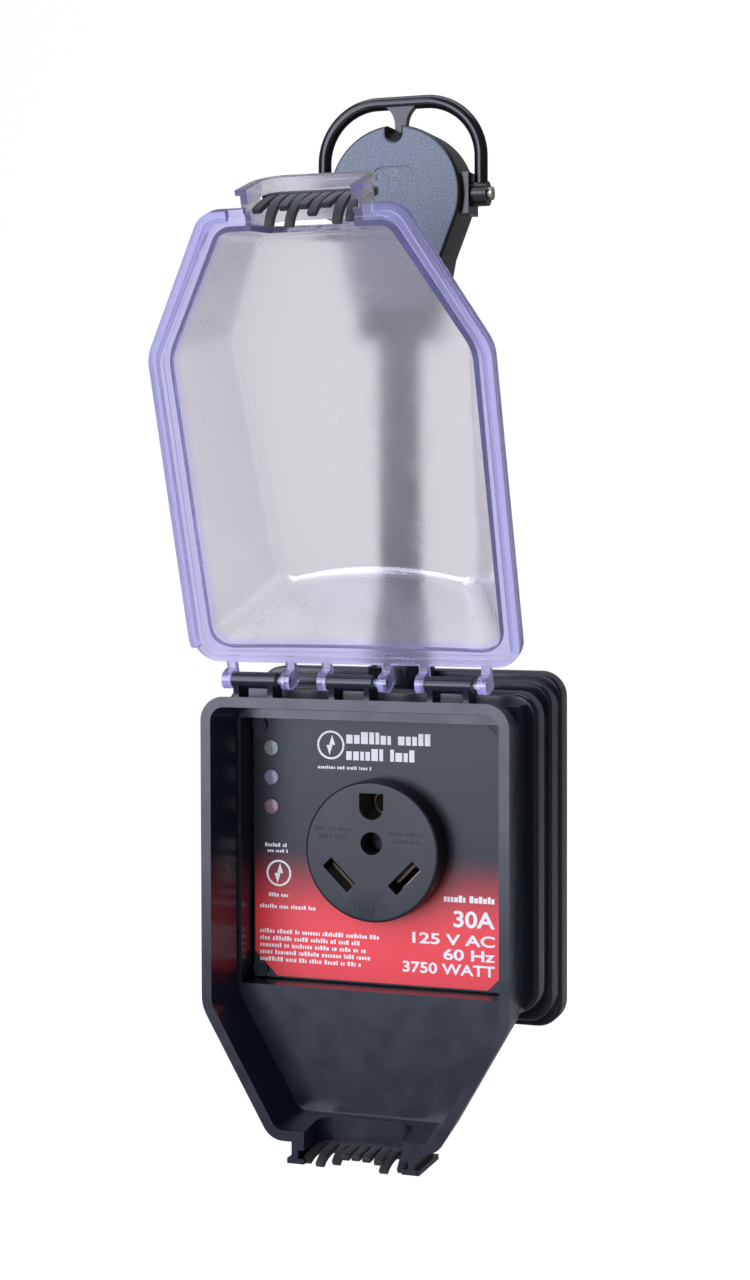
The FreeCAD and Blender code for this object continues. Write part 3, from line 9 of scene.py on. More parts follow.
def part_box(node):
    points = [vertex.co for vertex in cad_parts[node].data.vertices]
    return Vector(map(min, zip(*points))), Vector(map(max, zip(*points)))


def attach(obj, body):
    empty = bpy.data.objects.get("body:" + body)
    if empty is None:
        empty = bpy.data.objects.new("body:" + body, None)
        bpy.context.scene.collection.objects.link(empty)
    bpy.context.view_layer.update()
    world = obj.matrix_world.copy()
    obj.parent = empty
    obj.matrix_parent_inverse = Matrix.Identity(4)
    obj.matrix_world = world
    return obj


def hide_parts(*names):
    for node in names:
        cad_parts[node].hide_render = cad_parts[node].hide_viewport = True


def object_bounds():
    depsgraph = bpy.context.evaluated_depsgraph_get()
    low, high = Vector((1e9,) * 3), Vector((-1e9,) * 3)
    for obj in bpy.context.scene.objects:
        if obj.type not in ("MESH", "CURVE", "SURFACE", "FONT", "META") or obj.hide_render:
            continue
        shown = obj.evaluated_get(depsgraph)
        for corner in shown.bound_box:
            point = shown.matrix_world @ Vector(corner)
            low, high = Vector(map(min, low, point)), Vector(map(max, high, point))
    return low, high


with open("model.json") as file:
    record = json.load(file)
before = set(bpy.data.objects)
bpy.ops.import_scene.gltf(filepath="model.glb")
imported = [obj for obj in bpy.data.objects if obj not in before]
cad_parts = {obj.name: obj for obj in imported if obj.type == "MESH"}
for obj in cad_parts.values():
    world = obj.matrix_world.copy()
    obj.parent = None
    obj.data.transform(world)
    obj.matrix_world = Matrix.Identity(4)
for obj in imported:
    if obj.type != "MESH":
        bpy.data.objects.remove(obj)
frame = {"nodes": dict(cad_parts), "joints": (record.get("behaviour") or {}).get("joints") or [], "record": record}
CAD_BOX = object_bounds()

bl_info = {
    "name": "Caravan surge protector",
    "version": (1, 0, 0),
    "blender": (4, 5, 0),
    "location": "View3D > Sidebar > Surge protector",
    "description": "Finishes, print, rubber combs, lead and stage of a surge protector with a clear lid",
    "category": "Object",
}

MM = 0.001
RIM_TOP = Vector((0, -0.0705, -0.193))      # middle of the top of the box's rim
HINGE = next(joint for joint in frame["joints"] if joint["name"] == "lid_hinge")
HINGE_POINT = Vector(HINGE["pos_m"])
OPENED = math.radians(HINGE["range_deg"][1])   # the lid's turn from closed to where it stands open


def in_box(across, drop, back):
    """Point of the box, in mm: to the right of its middle, below its rim's top, behind its rim."""
    return RIM_TOP + Vector((across, back, -drop)) * MM


def linear(code):
    """Linear RGBA of an sRGB hex colour."""
    channels = [int(code[start:start + 2], 16) / 255 for start in (1, 3, 5)]
    return [c / 12.92 if c <= 0.04045 else ((c + 0.055) / 1.055) ** 2.4 for c in channels] + [1.0]


def colour_property(name, description, code):
    """A colour of the sidebar, with its default as sRGB hex."""
    return bpy.props.FloatVectorProperty(name=name, description=description, subtype="COLOR", size=4,
                                         min=0, max=1, default=linear(code))


def length_property(name, description, millimetres):
    """A length of the sidebar, with its default in mm."""
    return bpy.props.FloatProperty(name=name, description=description, subtype="DISTANCE", unit="LENGTH",
                                   min=0, default=millimetres * MM)


class SurgeSizes(bpy.types.PropertyGroup):
    """Sizes that a user would change."""
    ink: length_property("Ink thickness", "How far the label's print stands off its film", 0.08)
    finger_wide: length_property("Finger width", "Width of a comb's rubber finger", 3.7)
    finger_thick: length_property("Finger thickness", "Thickness of a comb's rubber finger", 2.4)
    lead_wide: length_property("Lead diameter", "Diameter of the power lead's jacket", 16.0)


class SurgeColours(bpy.types.PropertyGroup):
    """Colours that a user would change."""
    housing: colour_property("Housing", "Gloss black ABS of the box", "#121824")
    panel: colour_property("Panel", "Dark plate behind the label", "#1b1e24")
    label_top: colour_property("Label, top", "Charcoal of the label's upper half", "#171a22")
    label_foot: colour_property("Label, foot", "Red that the label fades to", "#f03f47")
    ink: colour_property("Ink", "White ink of the print", "#f4f2f2")
    outlet: colour_property("Outlet", "Charcoal thermoset of the outlet", "#20242b")
    clear: colour_property("Clear lid", "Tint of the lid's polycarbonate in its depth", "#8f89fb")
    rubber: colour_property("Combs", "Soft black rubber of the combs", "#141518")
    jacket: colour_property("Lead", "Matt black jacket of the lead", "#17181c")
    plug: colour_property("Plug", "Dark grey PVC of the plug", "#6a7080")


# ---------------------------------------------------------------- materials

def add_node(material, kind, inputs=None, **settings):
    """Adds a shader node with its settings, and sets or links its inputs."""
    node = material.node_tree.nodes.new("ShaderNode" + kind)
    for name, value in settings.items():
        setattr(node, name, value)
    for name, value in (inputs or {}).items():
        if isinstance(value, bpy.types.NodeSocket):
            material.node_tree.links.new(value, node.inputs[name])
        else:
            node.inputs[name].default_value = value
    return node


def empty_material(name):
    material = bpy.data.materials.new(name)
    material.use_nodes = True
    material.node_tree.nodes.clear()
    return material


def finish_material(material, surface, volume=None):
    """Links the last shader to the material's output."""
    inputs = {"Surface": surface.outputs[0]}
    if volume is not None:
        inputs["Volume"] = volume.outputs[0]
    add_node(material, "OutputMaterial", inputs)
    return material


def per_mm(millimetres):
    """Noise scale, in object coordinates, for features of that size."""
    return 1 / (millimetres * MM)


def moulded_abs(name, colour, roughness, skin):
    """Gloss black ABS from a polished mould: slow waves bend its highlights, and faint haze dulls them."""
    material = empty_material(name)
    place = add_node(material, "TexCoord").outputs["Object"]
    waves = add_node(material, "TexNoise", {"Vector": place, "Scale": per_mm(22), "Detail": 1.0})
    haze = add_node(material, "TexNoise", {"Vector": place, "Scale": per_mm(9), "Detail": 3.0})
    patches = add_node(material, "MapRange", {"Value": haze.outputs["Fac"], "From Min": 0.3, "From Max": 0.7,
                                              "To Min": roughness - 0.04, "To Max": roughness + 0.05})
    pores = add_node(material, "TexNoise", {"Vector": place, "Scale": per_mm(0.5), "Detail": 2.0})
    slow = add_node(material, "Bump", {"Height": waves.outputs["Fac"], "Strength": 0.12, "Distance": 0.0006})
    fine = add_node(material, "Bump", {"Height": pores.outputs["Fac"], "Strength": skin, "Distance": 0.00004,
                                       "Normal": slow.outputs["Normal"]})
    shader = add_node(material, "BsdfPrincipled", {
        "Base Color": colour, "Roughness": patches.outputs["Result"], "IOR": 1.54,
        "Normal": fine.outputs["Normal"]})
    return finish_material(material, shader)


FADE_DROPS = (60, 92)       # mm below the rim's top where the label starts to redden and is all red
FADE_DITHER = 1.4           # mm, how far dots of one colour stray into the other


def label_film(name, top, foot):
    """Satin polyester film, printed from charcoal to red in fine dots, which look even from a step away."""
    material = empty_material(name)
    place = add_node(material, "TexCoord").outputs["Object"]
    height = add_node(material, "SeparateXYZ", {"Vector": place}).outputs["Z"]
    dots = add_node(material, "TexNoise", {"Vector": place, "Scale": per_mm(0.45), "Detail": 1.0})
    spread = add_node(material, "MapRange", {"Value": dots.outputs["Fac"],
                                             "To Min": -FADE_DITHER * MM, "To Max": FADE_DITHER * MM})
    dithered = add_node(material, "Math", {0: height, 1: spread.outputs["Result"]}, operation="ADD")
    start, end = (in_box(0, drop, 0).z for drop in FADE_DROPS)
    fade = add_node(material, "MapRange", {"Value": dithered.outputs[0], "From Min": start, "From Max": end},
                    interpolation_type="SMOOTHSTEP")
    printed = add_node(material, "Mix", {"Factor": fade.outputs["Result"], "A": top, "B": foot},
                       data_type="RGBA")
    film = add_node(material, "TexNoise", {"Vector": place, "Scale": per_mm(1.2), "Detail": 2.0})
    relief = add_node(material, "Bump", {"Height": film.outputs["Fac"], "Strength": 0.08,
                                         "Distance": 0.00005})
    shader = add_node(material, "BsdfPrincipled", {
        "Base Color": printed.outputs["Result"], "Roughness": 0.3, "IOR": 1.42,
        "Normal": relief.outputs["Normal"]})
    return finish_material(material, shader)


def screen_ink(name, colour):
    """Screen-printed ink: flat and a little chalky."""
    material = empty_material(name)
    place = add_node(material, "TexCoord").outputs["Object"]
    chalk = add_node(material, "TexNoise", {"Vector": place, "Scale": per_mm(0.4), "Detail": 2.0})
    patches = add_node(material, "MapRange", {"Value": chalk.outputs["Fac"], "To Min": 0.45, "To Max": 0.6})
    shader = add_node(material, "BsdfPrincipled", {"Base Color": colour,
                                                   "Roughness": patches.outputs["Result"]})
    return finish_material(material, shader)


def grained_plastic(name, colour, roughness, grain, depth):
    """Satin thermoset or PVC from an eroded mould: its fine grain breaks highlights into a soft sheen."""
    material = empty_material(name)
    place = add_node(material, "TexCoord").outputs["Object"]
    pits = add_node(material, "TexNoise", {"Vector": place, "Scale": per_mm(grain), "Detail": 4.0,
                                           "Roughness": 0.6})
    cloud = add_node(material, "TexNoise", {"Vector": place, "Scale": per_mm(14), "Detail": 2.0})
    dark = [channel * 0.82 for channel in colour[:3]] + [1]
    light = [min(1, channel * 1.16) for channel in colour[:3]] + [1]
    speckled = add_node(material, "Math", {0: cloud.outputs["Fac"], 1: pits.outputs["Fac"], 2: -0.5},
                        operation="MULTIPLY_ADD")
    tone = add_node(material, "Mix", {"Factor": speckled.outputs[0], "A": dark, "B": light},
                    data_type="RGBA")
    relief = add_node(material, "Bump", {"Height": pits.outputs["Fac"], "Strength": 0.5,
                                         "Distance": depth * MM})
    sheen = add_node(material, "MapRange", {"Value": pits.outputs["Fac"], "To Min": roughness - 0.06,
                                            "To Max": roughness + 0.08})
    shader = add_node(material, "BsdfPrincipled", {
        "Base Color": tone.outputs["Result"], "Roughness": sheen.outputs["Result"], "IOR": 1.5,
        "Normal": relief.outputs["Normal"]})
    return finish_material(material, shader)


def painted_light_plug_pvc(name, colour):
    """PVC of the plug with a speckled grain: its flat back is eroded rough and painted pale as painted light, and
    its sides are polished and painted near-black as painted shade, picked by the way each face turns.
    """
    material = empty_material(name)
    spot = add_node(material, "TexCoord")
    facing = add_node(material, "SeparateXYZ", {"Vector": spot.outputs["Normal"]}).outputs["Y"]
    # Mask of the faces turned towards -Y (the back): painted light goes there, painted shade goes on the sides.
    flat = add_node(material, "MapRange", {"Value": facing, "From Min": -0.8, "From Max": -0.97})
    grain = add_node(material, "TexNoise", {"Vector": spot.outputs["Object"], "Scale": per_mm(0.7),
                                            "Detail": 4.0, "Roughness": 0.7})
    dark = [channel * 0.65 for channel in colour[:3]] + [1]
    light = [min(1, channel * 1.45) for channel in colour[:3]] + [1]
    contrast = add_node(material, "MapRange", {"Value": grain.outputs["Fac"],
                                               "From Min": 0.35, "From Max": 0.65})
    speckle = add_node(material, "Mix", {"Factor": contrast.outputs["Result"], "A": dark, "B": light},
                       data_type="RGBA")
    # Painted shade: the sides take the near-black #141519, and the back takes the pale speckle as painted light.
    tone = add_node(material, "Mix", {"Factor": flat.outputs["Result"], "A": linear("#141519"),
                                      "B": speckle.outputs["Result"]}, data_type="RGBA")
    gloss = add_node(material, "MapRange", {"Value": flat.outputs["Result"], "To Min": 0.3, "To Max": 0.5})
    relief = add_node(material, "Bump", {"Height": grain.outputs["Fac"], "Strength": 0.4,
                                         "Distance": 0.0001})
    shader = add_node(material, "BsdfPrincipled", {
        "Base Color": tone.outputs["Result"], "Roughness": gloss.outputs["Result"], "IOR": 1.5,
        "Normal": relief.outputs["Normal"]})
    return finish_material(material, shader)


def soft_rubber(name, colour, roughness):
    """EPDM rubber: dull, with a dusty bloom that lifts its edges."""
    material = empty_material(name)
    place = add_node(material, "TexCoord").outputs["Object"]
    bloom = add_node(material, "TexNoise", {"Vector": place, "Scale": per_mm(5), "Detail": 4.0})
    pale = [min(1, channel * 2.0 + 0.01) for channel in colour[:3]] + [1]
    dusty = add_node(material, "MapRange", {"Value": bloom.outputs["Fac"], "From Min": 0.4, "From Max": 0.8})
    tone = add_node(material, "Mix", {"Factor": dusty.outputs["Result"], "A": colour, "B": pale},
                    data_type="RGBA")
    grit = add_node(material, "TexNoise", {"Vector": place, "Scale": per_mm(0.3), "Detail": 3.0})
    relief = add_node(material, "Bump", {"Height": grit.outputs["Fac"], "Strength": 0.35,
                                         "Distance": 0.00008})
    shader = add_node(material, "BsdfPrincipled", {
        "Base Color": tone.outputs["Result"], "Roughness": roughness, "IOR": 1.5, "Sheen Weight": 0.15,
        "Sheen Roughness": 0.5, "Normal": relief.outputs["Normal"]})
    return finish_material(material, shader)


def tinted_lens(name, colour):
    """Diffusing acrylic over an unlit lamp: a milky body under a clear, shiny skin."""
    material = empty_material(name)
    place = add_node(material, "TexCoord").outputs["Object"]
    milk = add_node(material, "TexNoise", {"Vector": place, "Scale": per_mm(1.6), "Detail": 2.0})
    deep = [channel * 0.55 for channel in colour[:3]] + [1]
    tone = add_node(material, "Mix", {"Factor": milk.outputs["Fac"], "A": deep, "B": colour},
                    data_type="RGBA")
    shader = add_node(material, "BsdfPrincipled", {
        "Base Color": tone.outputs["Result"], "Roughness": 0.35, "IOR": 1.49, "Coat Weight": 0.7,
        "Coat Roughness": 0.06, "Subsurface Weight": 0.25, "Subsurface Scale": 0.0012})
    return finish_material(material, shader)


FLANGE_FACE = 6.7           # mm, hinge axis to the face of the lid's flange
FLANGE_FADE = 2.5           # mm, how far the flange's tint fades up the dome


def clear_polycarbonate(name, tint):
    """Moulded polycarbonate: hazed by handling, clear through its wall, violet edge-on and in the flange."""
    material = empty_material(name)
    place = add_node(material, "TexCoord").outputs["Object"]
    haze = add_node(material, "TexNoise", {"Vector": place, "Scale": per_mm(12), "Detail": 3.0})
    cloudy = add_node(material, "MapRange", {"Value": haze.outputs["Fac"], "From Min": 0.3, "From Max": 0.7,
                                             "To Min": 0.2, "To Max": 0.28})
    outwards = Matrix.Rotation(-OPENED, 3, "X") @ Vector((0, -1, 0))
    above = add_node(material, "VectorMath", {0: place, 1: outwards}, operation="DOT_PRODUCT")
    hinge = HINGE_POINT.dot(outwards)
    flange = add_node(material, "MapRange", {"Value": above.outputs["Value"],
                                             "From Min": hinge + FLANGE_FACE * MM,
                                             "From Max": hinge + (FLANGE_FACE + FLANGE_FADE) * MM})
    tone = add_node(material, "Mix", {"Factor": flange.outputs["Result"], "A": linear("#d9d7f2"),
                                      "B": linear("#ece8e0")}, data_type="RGBA")
    shader = add_node(material, "BsdfPrincipled", {
        "Base Color": tone.outputs["Result"], "Roughness": cloudy.outputs["Result"], "IOR": 1.585,
        "Transmission Weight": 0.91, "Coat Weight": 1.0, "Coat Roughness": 0.03, "Coat IOR": 1.585})
    depth = add_node(material, "VolumeAbsorption", {"Color": tint, "Density": 75.0})
    return finish_material(material, shader, depth)


def turned_metal(name, colour, roughness, lines):
    """Plated or drawn metal: bright, with fine lines that stretch its highlights."""
    material = empty_material(name)
    place = add_node(material, "TexCoord").outputs["Object"]
    squeezed = add_node(material, "Mapping", {"Vector": place, "Scale": (1, 1, 0.08)})
    drawn = add_node(material, "TexNoise", {"Vector": squeezed.outputs["Vector"], "Scale": per_mm(lines),
                                            "Detail": 3.0})
    worn = add_node(material, "MapRange", {"Value": drawn.outputs["Fac"], "To Min": roughness - 0.08,
                                           "To Max": roughness + 0.1})
    relief = add_node(material, "Bump", {"Height": drawn.outputs["Fac"], "Strength": 0.15,
                                         "Distance": 0.00004})
    shader = add_node(material, "BsdfPrincipled", {
        "Base Color": colour, "Metallic": 1.0, "Roughness": worn.outputs["Result"],
        "Normal": relief.outputs["Normal"]})
    return finish_material(material, shader)


def board_laminate(name):
    """Glass-epoxy board under green solder mask: a faint weave and paler tracks show through."""
    material = empty_material(name)
    place = add_node(material, "TexCoord").outputs["Object"]
    tracks = add_node(material, "TexBrick", {"Vector": place, "Scale": per_mm(9), "Color1": linear("#14492a"),
                                             "Color2": linear("#1a5a35"), "Mortar": linear("#2f7a4c"),
                                             "Mortar Size": 0.03})
    shader = add_node(material, "BsdfPrincipled", {"Base Color": tracks.outputs["Color"], "Roughness": 0.3,
                                                   "IOR": 1.55})
    return finish_material(material, shader)


def make_materials():
    """Every finish, by the record's slot."""
    shades = bpy.context.scene.surge_colours
    named = {
        "housing_black": moulded_abs("gloss_abs_black", list(shades.housing), 0.22, 0.05),
        "rubber_black": soft_rubber("epdm_rubber_black", list(shades.rubber), 0.62),
        "panel_grey": grained_plastic("textured_abs_plate", list(shades.panel), 0.4, 0.5, 0.05),
        "label_print": label_film("printed_label_film", list(shades.label_top), list(shades.label_foot)),
        "outlet_grey": grained_plastic("outlet_thermoset", list(shades.outlet), 0.4, 0.35, 0.03),
        "lens_green": tinted_lens("lens_acrylic_green", linear("#7b8983")),
        "lens_blue": tinted_lens("lens_acrylic_blue", linear("#737c90")),
        "lens_red": tinted_lens("lens_acrylic_red", linear("#86646a")),
        "clear_cover": clear_polycarbonate("clear_polycarbonate", list(shades.clear)),
        "screw_steel": turned_metal("nickel_plated_steel", linear("#b9b2a8"), 0.3, 0.3),
        "screw_black": turned_metal("black_oxide_steel", linear("#33343a"), 0.35, 0.3),
        "contact_brass": turned_metal("tarnished_brass", linear("#857a66"), 0.4, 0.4),
        "blade_brass": turned_metal("drawn_brass", linear("#d2b26a"), 0.28, 0.4),
        "board_green": board_laminate("solder_masked_board"),
        "varistor_blue": grained_plastic("varistor_epoxy_blue", linear("#1c4f9c"), 0.4, 0.6, 0.05),
        "fuse_white": grained_plastic("white_ceramic", linear("#dcdad2"), 0.45, 0.4, 0.03),
        "wire_black": grained_plastic("wire_pvc_black", linear("#1a1a1c"), 0.4, 0.8, 0.03),
        "wire_white": grained_plastic("wire_pvc_white", linear("#e4e2dc"), 0.4, 0.8, 0.03),
        "wire_green": grained_plastic("wire_pvc_green", linear("#1f6a37"), 0.4, 0.8, 0.03),
        "cord_black": soft_rubber("lead_jacket_black", list(shades.jacket), 0.5),
        "plug_grey": painted_light_plug_pvc("plug_pvc_grey", list(shades.plug)),
        "handle_black": moulded_abs("gloss_nylon_black", linear("#0f1114"), 0.2, 0.08),
    }
    named["ink"] = screen_ink("screen_ink_white", list(shades.ink))
    return named


MATERIALS = {}


def paint(piece, slot):
    """Gives a piece or a CAD node the finish of a slot of the record."""
    if not piece.material_slots:
        piece.data.materials.append(MATERIALS[slot])
    for held in piece.material_slots:
        held.material = MATERIALS[slot]


# ---------------------------------------------------------------- modelling helpers

def deselect_all():
    if bpy.context.mode != "OBJECT":
        bpy.ops.object.mode_set(mode="OBJECT")
    bpy.ops.object.select_all(action="DESELECT")


def make_active(piece):
    deselect_all()
    piece.select_set(True)
    bpy.context.view_layer.objects.active = piece


def smooth_copy(node, name, slot, body, angle=32):
    """Merged copy of a CAD node with its curves shaded smooth, shown in that node's place."""
    piece = bpy.data.objects.new(name, frame["nodes"][node].data.copy())
    piece.data.name = name
    bpy.context.scene.collection.objects.link(piece)
    make_active(piece)
    bpy.ops.object.mode_set(mode="EDIT")
    bpy.ops.mesh.select_all(action="SELECT")
    bpy.ops.mesh.remove_doubles(threshold=1e-6)
    bpy.ops.object.mode_set(mode="OBJECT")
    bpy.ops.mesh.customdata_custom_splitnormals_clear()
    bpy.ops.object.shade_smooth_by_angle(angle=math.radians(angle))
    paint(piece, slot)
    settle(piece, slot, body, node)
    return piece


def settle(piece, slot, body, *nodes):
    """Puts a piece's place into its mesh, hangs it on its body and hides the CAD nodes that it stands for; its
    slot is not used.
    """
    make_active(piece)
    bpy.ops.object.transform_apply(location=True, rotation=True, scale=True)
    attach(piece, body)
    if nodes:
        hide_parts(*nodes)


def start_mesh(name):
    """An empty mesh object, in edit mode, that primitives are added to."""
    deselect_all()
    bpy.ops.mesh.primitive_plane_add(size=1)
    piece = bpy.context.object
    piece.name = name
    piece.data.name = name
    bpy.ops.object.mode_set(mode="EDIT")
    bpy.ops.mesh.select_all(action="SELECT")
    bpy.ops.mesh.delete(type="VERT")
    return piece


# ---------------------------------------------------------------- housing, outlet and electronics

SMOOTHED = {
    "front_tray": ("housing", "housing_black"), "rear_case": ("housing", "housing_black"),
    "cord_gland": ("housing", "housing_black"), "strain_relief": ("housing", "rubber_black"),
    "outlet_body": ("housing", "outlet_grey"), "status_lens_green": ("housing", "lens_green"),
    "status_lens_blue": ("housing", "lens_blue"), "status_lens_red": ("housing", "lens_red"),
    "plug_body": ("housing", "plug_grey"), "plug_collar": ("housing", "cord_black"),
    "pivot_plates": ("housing", "handle_black"), "carry_handle": ("handle", "handle_black"),
    "clear_lid": ("lid", "clear_cover"), "plug_ground_pin": ("housing", "blade_brass"),
    "handle_screws": ("housing", "screw_steel"), "outlet_screw": ("housing", "screw_black"),
    "panel_screws": ("housing", "screw_black"),
}


class SURGE_OT_finish_nodes(bpy.types.Operator):
    """Give every CAD piece its finish, and shade the curved ones smooth"""
    bl_idname = "surge.finish_nodes"
    bl_label = "Finish CAD pieces"

    def execute(self, context):
        MATERIALS.update(make_materials())
        for item in frame["record"]["subparts"]:
            paint(frame["nodes"][item["node"]], item["material_slot"])
        for node, (body, slot) in SMOOTHED.items():
            smooth_copy(node, node + "_skin", slot, body)
        return {"FINISHED"}


# ---------------------------------------------------------------- print on the label

# Places and sizes are in mm of the box's front.
LOOSE, TIGHT = 0.55, 0.7    # how closely a line's greeked letters stand
LOW_LETTER = 0.74           # height of a low letter, as a share of its line's
# Greeked lines in the order they are drawn: left, top, width, height, closeness.
LABEL_LINES = (
    (-14, 15.2, 36, 4.6, TIGHT), (-14, 21.6, 30, 4.6, TIGHT), (-25.8, 28.6, 22, 1.3, LOOSE),
    (-48, 59.8, 10.5, 1.5, LOOSE), (-47, 62.2, 8.5, 1.3, LOOSE), (-46.5, 79.4, 9.5, 1.5, LOOSE),
    (-50.3, 83.9, 24, 1.6, LOOSE),
    *((-50.3, 93.6 + row * 2.75, width, 1.7, LOOSE) for row, width in enumerate((50, 42, 44, 47, 42))),
    (25.5, 76.4, 20.3, 2.6, TIGHT),
)
RATINGS_RIGHT = 45.8        # right-hand edge of the ratings
# Name, words, drop of the foot, width, height.
RATINGS = (("rating_amps", "30A", 88.6, 16.4, 6.4), ("rating_volts", "125 V AC", 95.6, 33, 4.3),
           ("rating_hertz", "60 Hz", 101.3, 20.5, 4.3), ("rating_watts", "3750 WATT", 107.0, 37, 4.3))
OUTLET_LINES = ((-23.5, 50.6, 16), (-21.5, 53.4, 12), (6.5, 51.6, 15), (8, 54.4, 11.5), (-9, 79.6, 17))
OUTLET_LETTER = 1.6         # height of the outlet's moulded letters
OUTLET_RELIEF = 0.25        # how far they stand off its face
MARKS = ((-20.4, 20.6, 5.6), (-42.3, 71.6, 5.2))    # rings: place across, drop and radius
RING_THICK = 0.8
SPARK_RADIUS = 2.6          # of each of a spark's two triangles, before they are narrowed
SPARK_NARROWED = 0.55


def add_block(left, top, wide, tall, plane):
    """A flat block of ink; left, top and sizes in mm of the box's front, plane in metres."""
    centre = in_box(left + wide / 2, top + tall / 2, 0)
    centre.y = plane
    bpy.ops.mesh.primitive_plane_add(size=tall * MM, location=centre, rotation=(math.pi / 2, 0, 0))
    bpy.ops.transform.resize(value=(wide / tall, 1, 1), center_override=centre)


def greek_line(draw, left, top, width, tall, plane, bold=LOOSE):
    """A line of greeked print: short blocks of uneven width, set as words up to a given width."""
    at = left
    letters = draw.randint(3, 8)
    while at < left + width - tall * 0.4:
        wide = tall * draw.uniform(0.3, 0.62)
        high = tall * (1.0 if draw.random() < 0.35 else LOW_LETTER)
        wide = min(wide, left + width - at)
        add_block(at, top + tall - high, wide, high, plane)
        at += wide + tall * (0.62 - bold * 0.7)
        letters -= 1
        if letters <= 0:
            at += tall * 0.5
            letters = draw.randint(2, 8)


def raise_print(height):
    """Gives the flat print that is being edited its height, in metres, and leaves edit mode."""
    bpy.ops.mesh.select_all(action="SELECT")
    bpy.ops.mesh.extrude_region_move(TRANSFORM_OT_translate={"value": (0, -height, 0)})
    bpy.ops.mesh.select_all(action="SELECT")
    bpy.ops.mesh.normals_make_consistent(inside=False)
    bpy.ops.object.mode_set(mode="OBJECT")


def add_text(name, words, right, drop, width, tall, plane):
    """A line of lettering that ends at a right-hand edge; sizes and places in mm of the box's front."""
    deselect_all()
    bpy.ops.object.text_add()
    text = bpy.context.object
    text.name = name
    text.data.body = words
    text.data.offset = 0.022    # thickens the strokes
    text.data.extrude = 0.05    # any depth will do, since the ink's is set below
    bpy.ops.object.convert(target="MESH")
    letters = text.data
    letters.name = name
    low = Vector([min(vertex.co[axis] for vertex in letters.vertices) for axis in range(3)])
    size = Vector([max(vertex.co[axis] for vertex in letters.vertices) for axis in range(3)]) - low
    ink = bpy.context.scene.surge_sizes.ink
    foot = in_box(right - width, drop, 0)
    for vertex in letters.vertices:
        across, up, out = ((vertex.co[axis] - low[axis]) / size[axis] for axis in range(3))
        vertex.co = (foot.x + across * width * MM, plane - out * ink, foot.z + up * tall * MM)
    return text


class SURGE_OT_print_label(bpy.types.Operator):
    """Print the rating, a plain mark and greeked lines on the label"""
    bl_idname = "surge.print_label"
    bl_label = "Print the label"

    def execute(self, context):
        sizes = context.scene.surge_sizes
        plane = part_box("face_label")[0].y
        draw = random.Random(30)
        piece = start_mesh("label_print")
        for left, top, width, tall, bold in LABEL_LINES:
            greek_line(draw, left, top, width, tall, plane, bold)
        raise_print(sizes.ink)
        for name, words, drop, width, tall in RATINGS:
            text = add_text(name, words, RATINGS_RIGHT, drop, width, tall, plane)
            paint(text, "ink")
            settle(text, "label_print", "housing")
        paint(piece, "ink")
        settle(piece, "label_print", "housing")
        self.add_marks(plane, sizes.ink)
        self.add_outlet_marks()
        return {"FINISHED"}

    def add_outlet_marks(self):
        """Small greeked letters, moulded proud of the outlet's face by its slots."""
        draw = random.Random(54)
        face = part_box("outlet_body")[0].y
        piece = start_mesh("outlet_marks")
        for left, top, width in OUTLET_LINES:
            greek_line(draw, left, top, width, OUTLET_LETTER, face)
        raise_print(OUTLET_RELIEF * MM)
        paint(piece, "outlet_grey")
        settle(piece, "outlet_grey", "housing")

    def add_marks(self, plane, ink):
        """Two plain rings, each with a spark made of two narrow triangles."""
        piece = start_mesh("label_marks")
        for across, drop, radius in MARKS:
            centre = in_box(across, drop, 0)
            bpy.ops.mesh.primitive_circle_add(vertices=40, radius=radius * MM, fill_type="NGON",
                                              location=(centre.x, plane, centre.z),
                                              rotation=(math.pi / 2, 0, 0))
            bpy.ops.mesh.inset(thickness=RING_THICK * MM)
            bpy.ops.mesh.delete(type="FACE")
        bpy.ops.mesh.select_all(action="SELECT")
        for across, drop, _ in MARKS:
            for step, shift in enumerate((0.9, -0.9)):
                centre = in_box(across + shift * 0.6, drop - shift * 1.5, 0)
                centre.y = plane
                bpy.ops.mesh.primitive_circle_add(vertices=3, radius=SPARK_RADIUS * MM, fill_type="NGON",
                                                  location=centre, rotation=(math.pi / 2, step * math.pi, 0))
                bpy.ops.transform.resize(value=(SPARK_NARROWED, 1, 1), center_override=centre)
        raise_print(ink)
        paint(piece, "ink")
        settle(piece, "label_print", "housing")


# ---------------------------------------------------------------- rubber combs

# Each finger: degrees that it swings sideways, degrees that it droops by its tip, share of its full reach.
HOUSING_FINGERS = ((-8, 36, 1.0), (-3, 44, 1.05), (5, 34, 0.95), (0, 8, 0.85), (0, 5, 0.85), (0, 8, 0.85),
                   (3, 14, 0.9), (-4, 48, 1.05), (7, 38, 1.0))
LID_FINGERS = ((0, 12, 1.0), (0, 62, 1.15), (-3, 14, 0.85), (2, 64, 1.2), (0, 8, 0.9), (3, 34, 1.0),
               (0, 6, 0.9), (0, 64, 1.15), (-2, 60, 1.1))
FINGER_STEPS = 6
FINGER_TAPER = 0.985        # a finger's size after each step
COMB_BAND = 5.0             # mm, depth of the band that the fingers grow from
COMB_END = 2.6              # mm, bare band beyond the first and the last finger
ROOT_SUNK = 0.6             # mm, how far the fingers start inside the band
TURNS_BACKWARDS = -1        # transform.rotate, without a window, turns against the right-hand rule


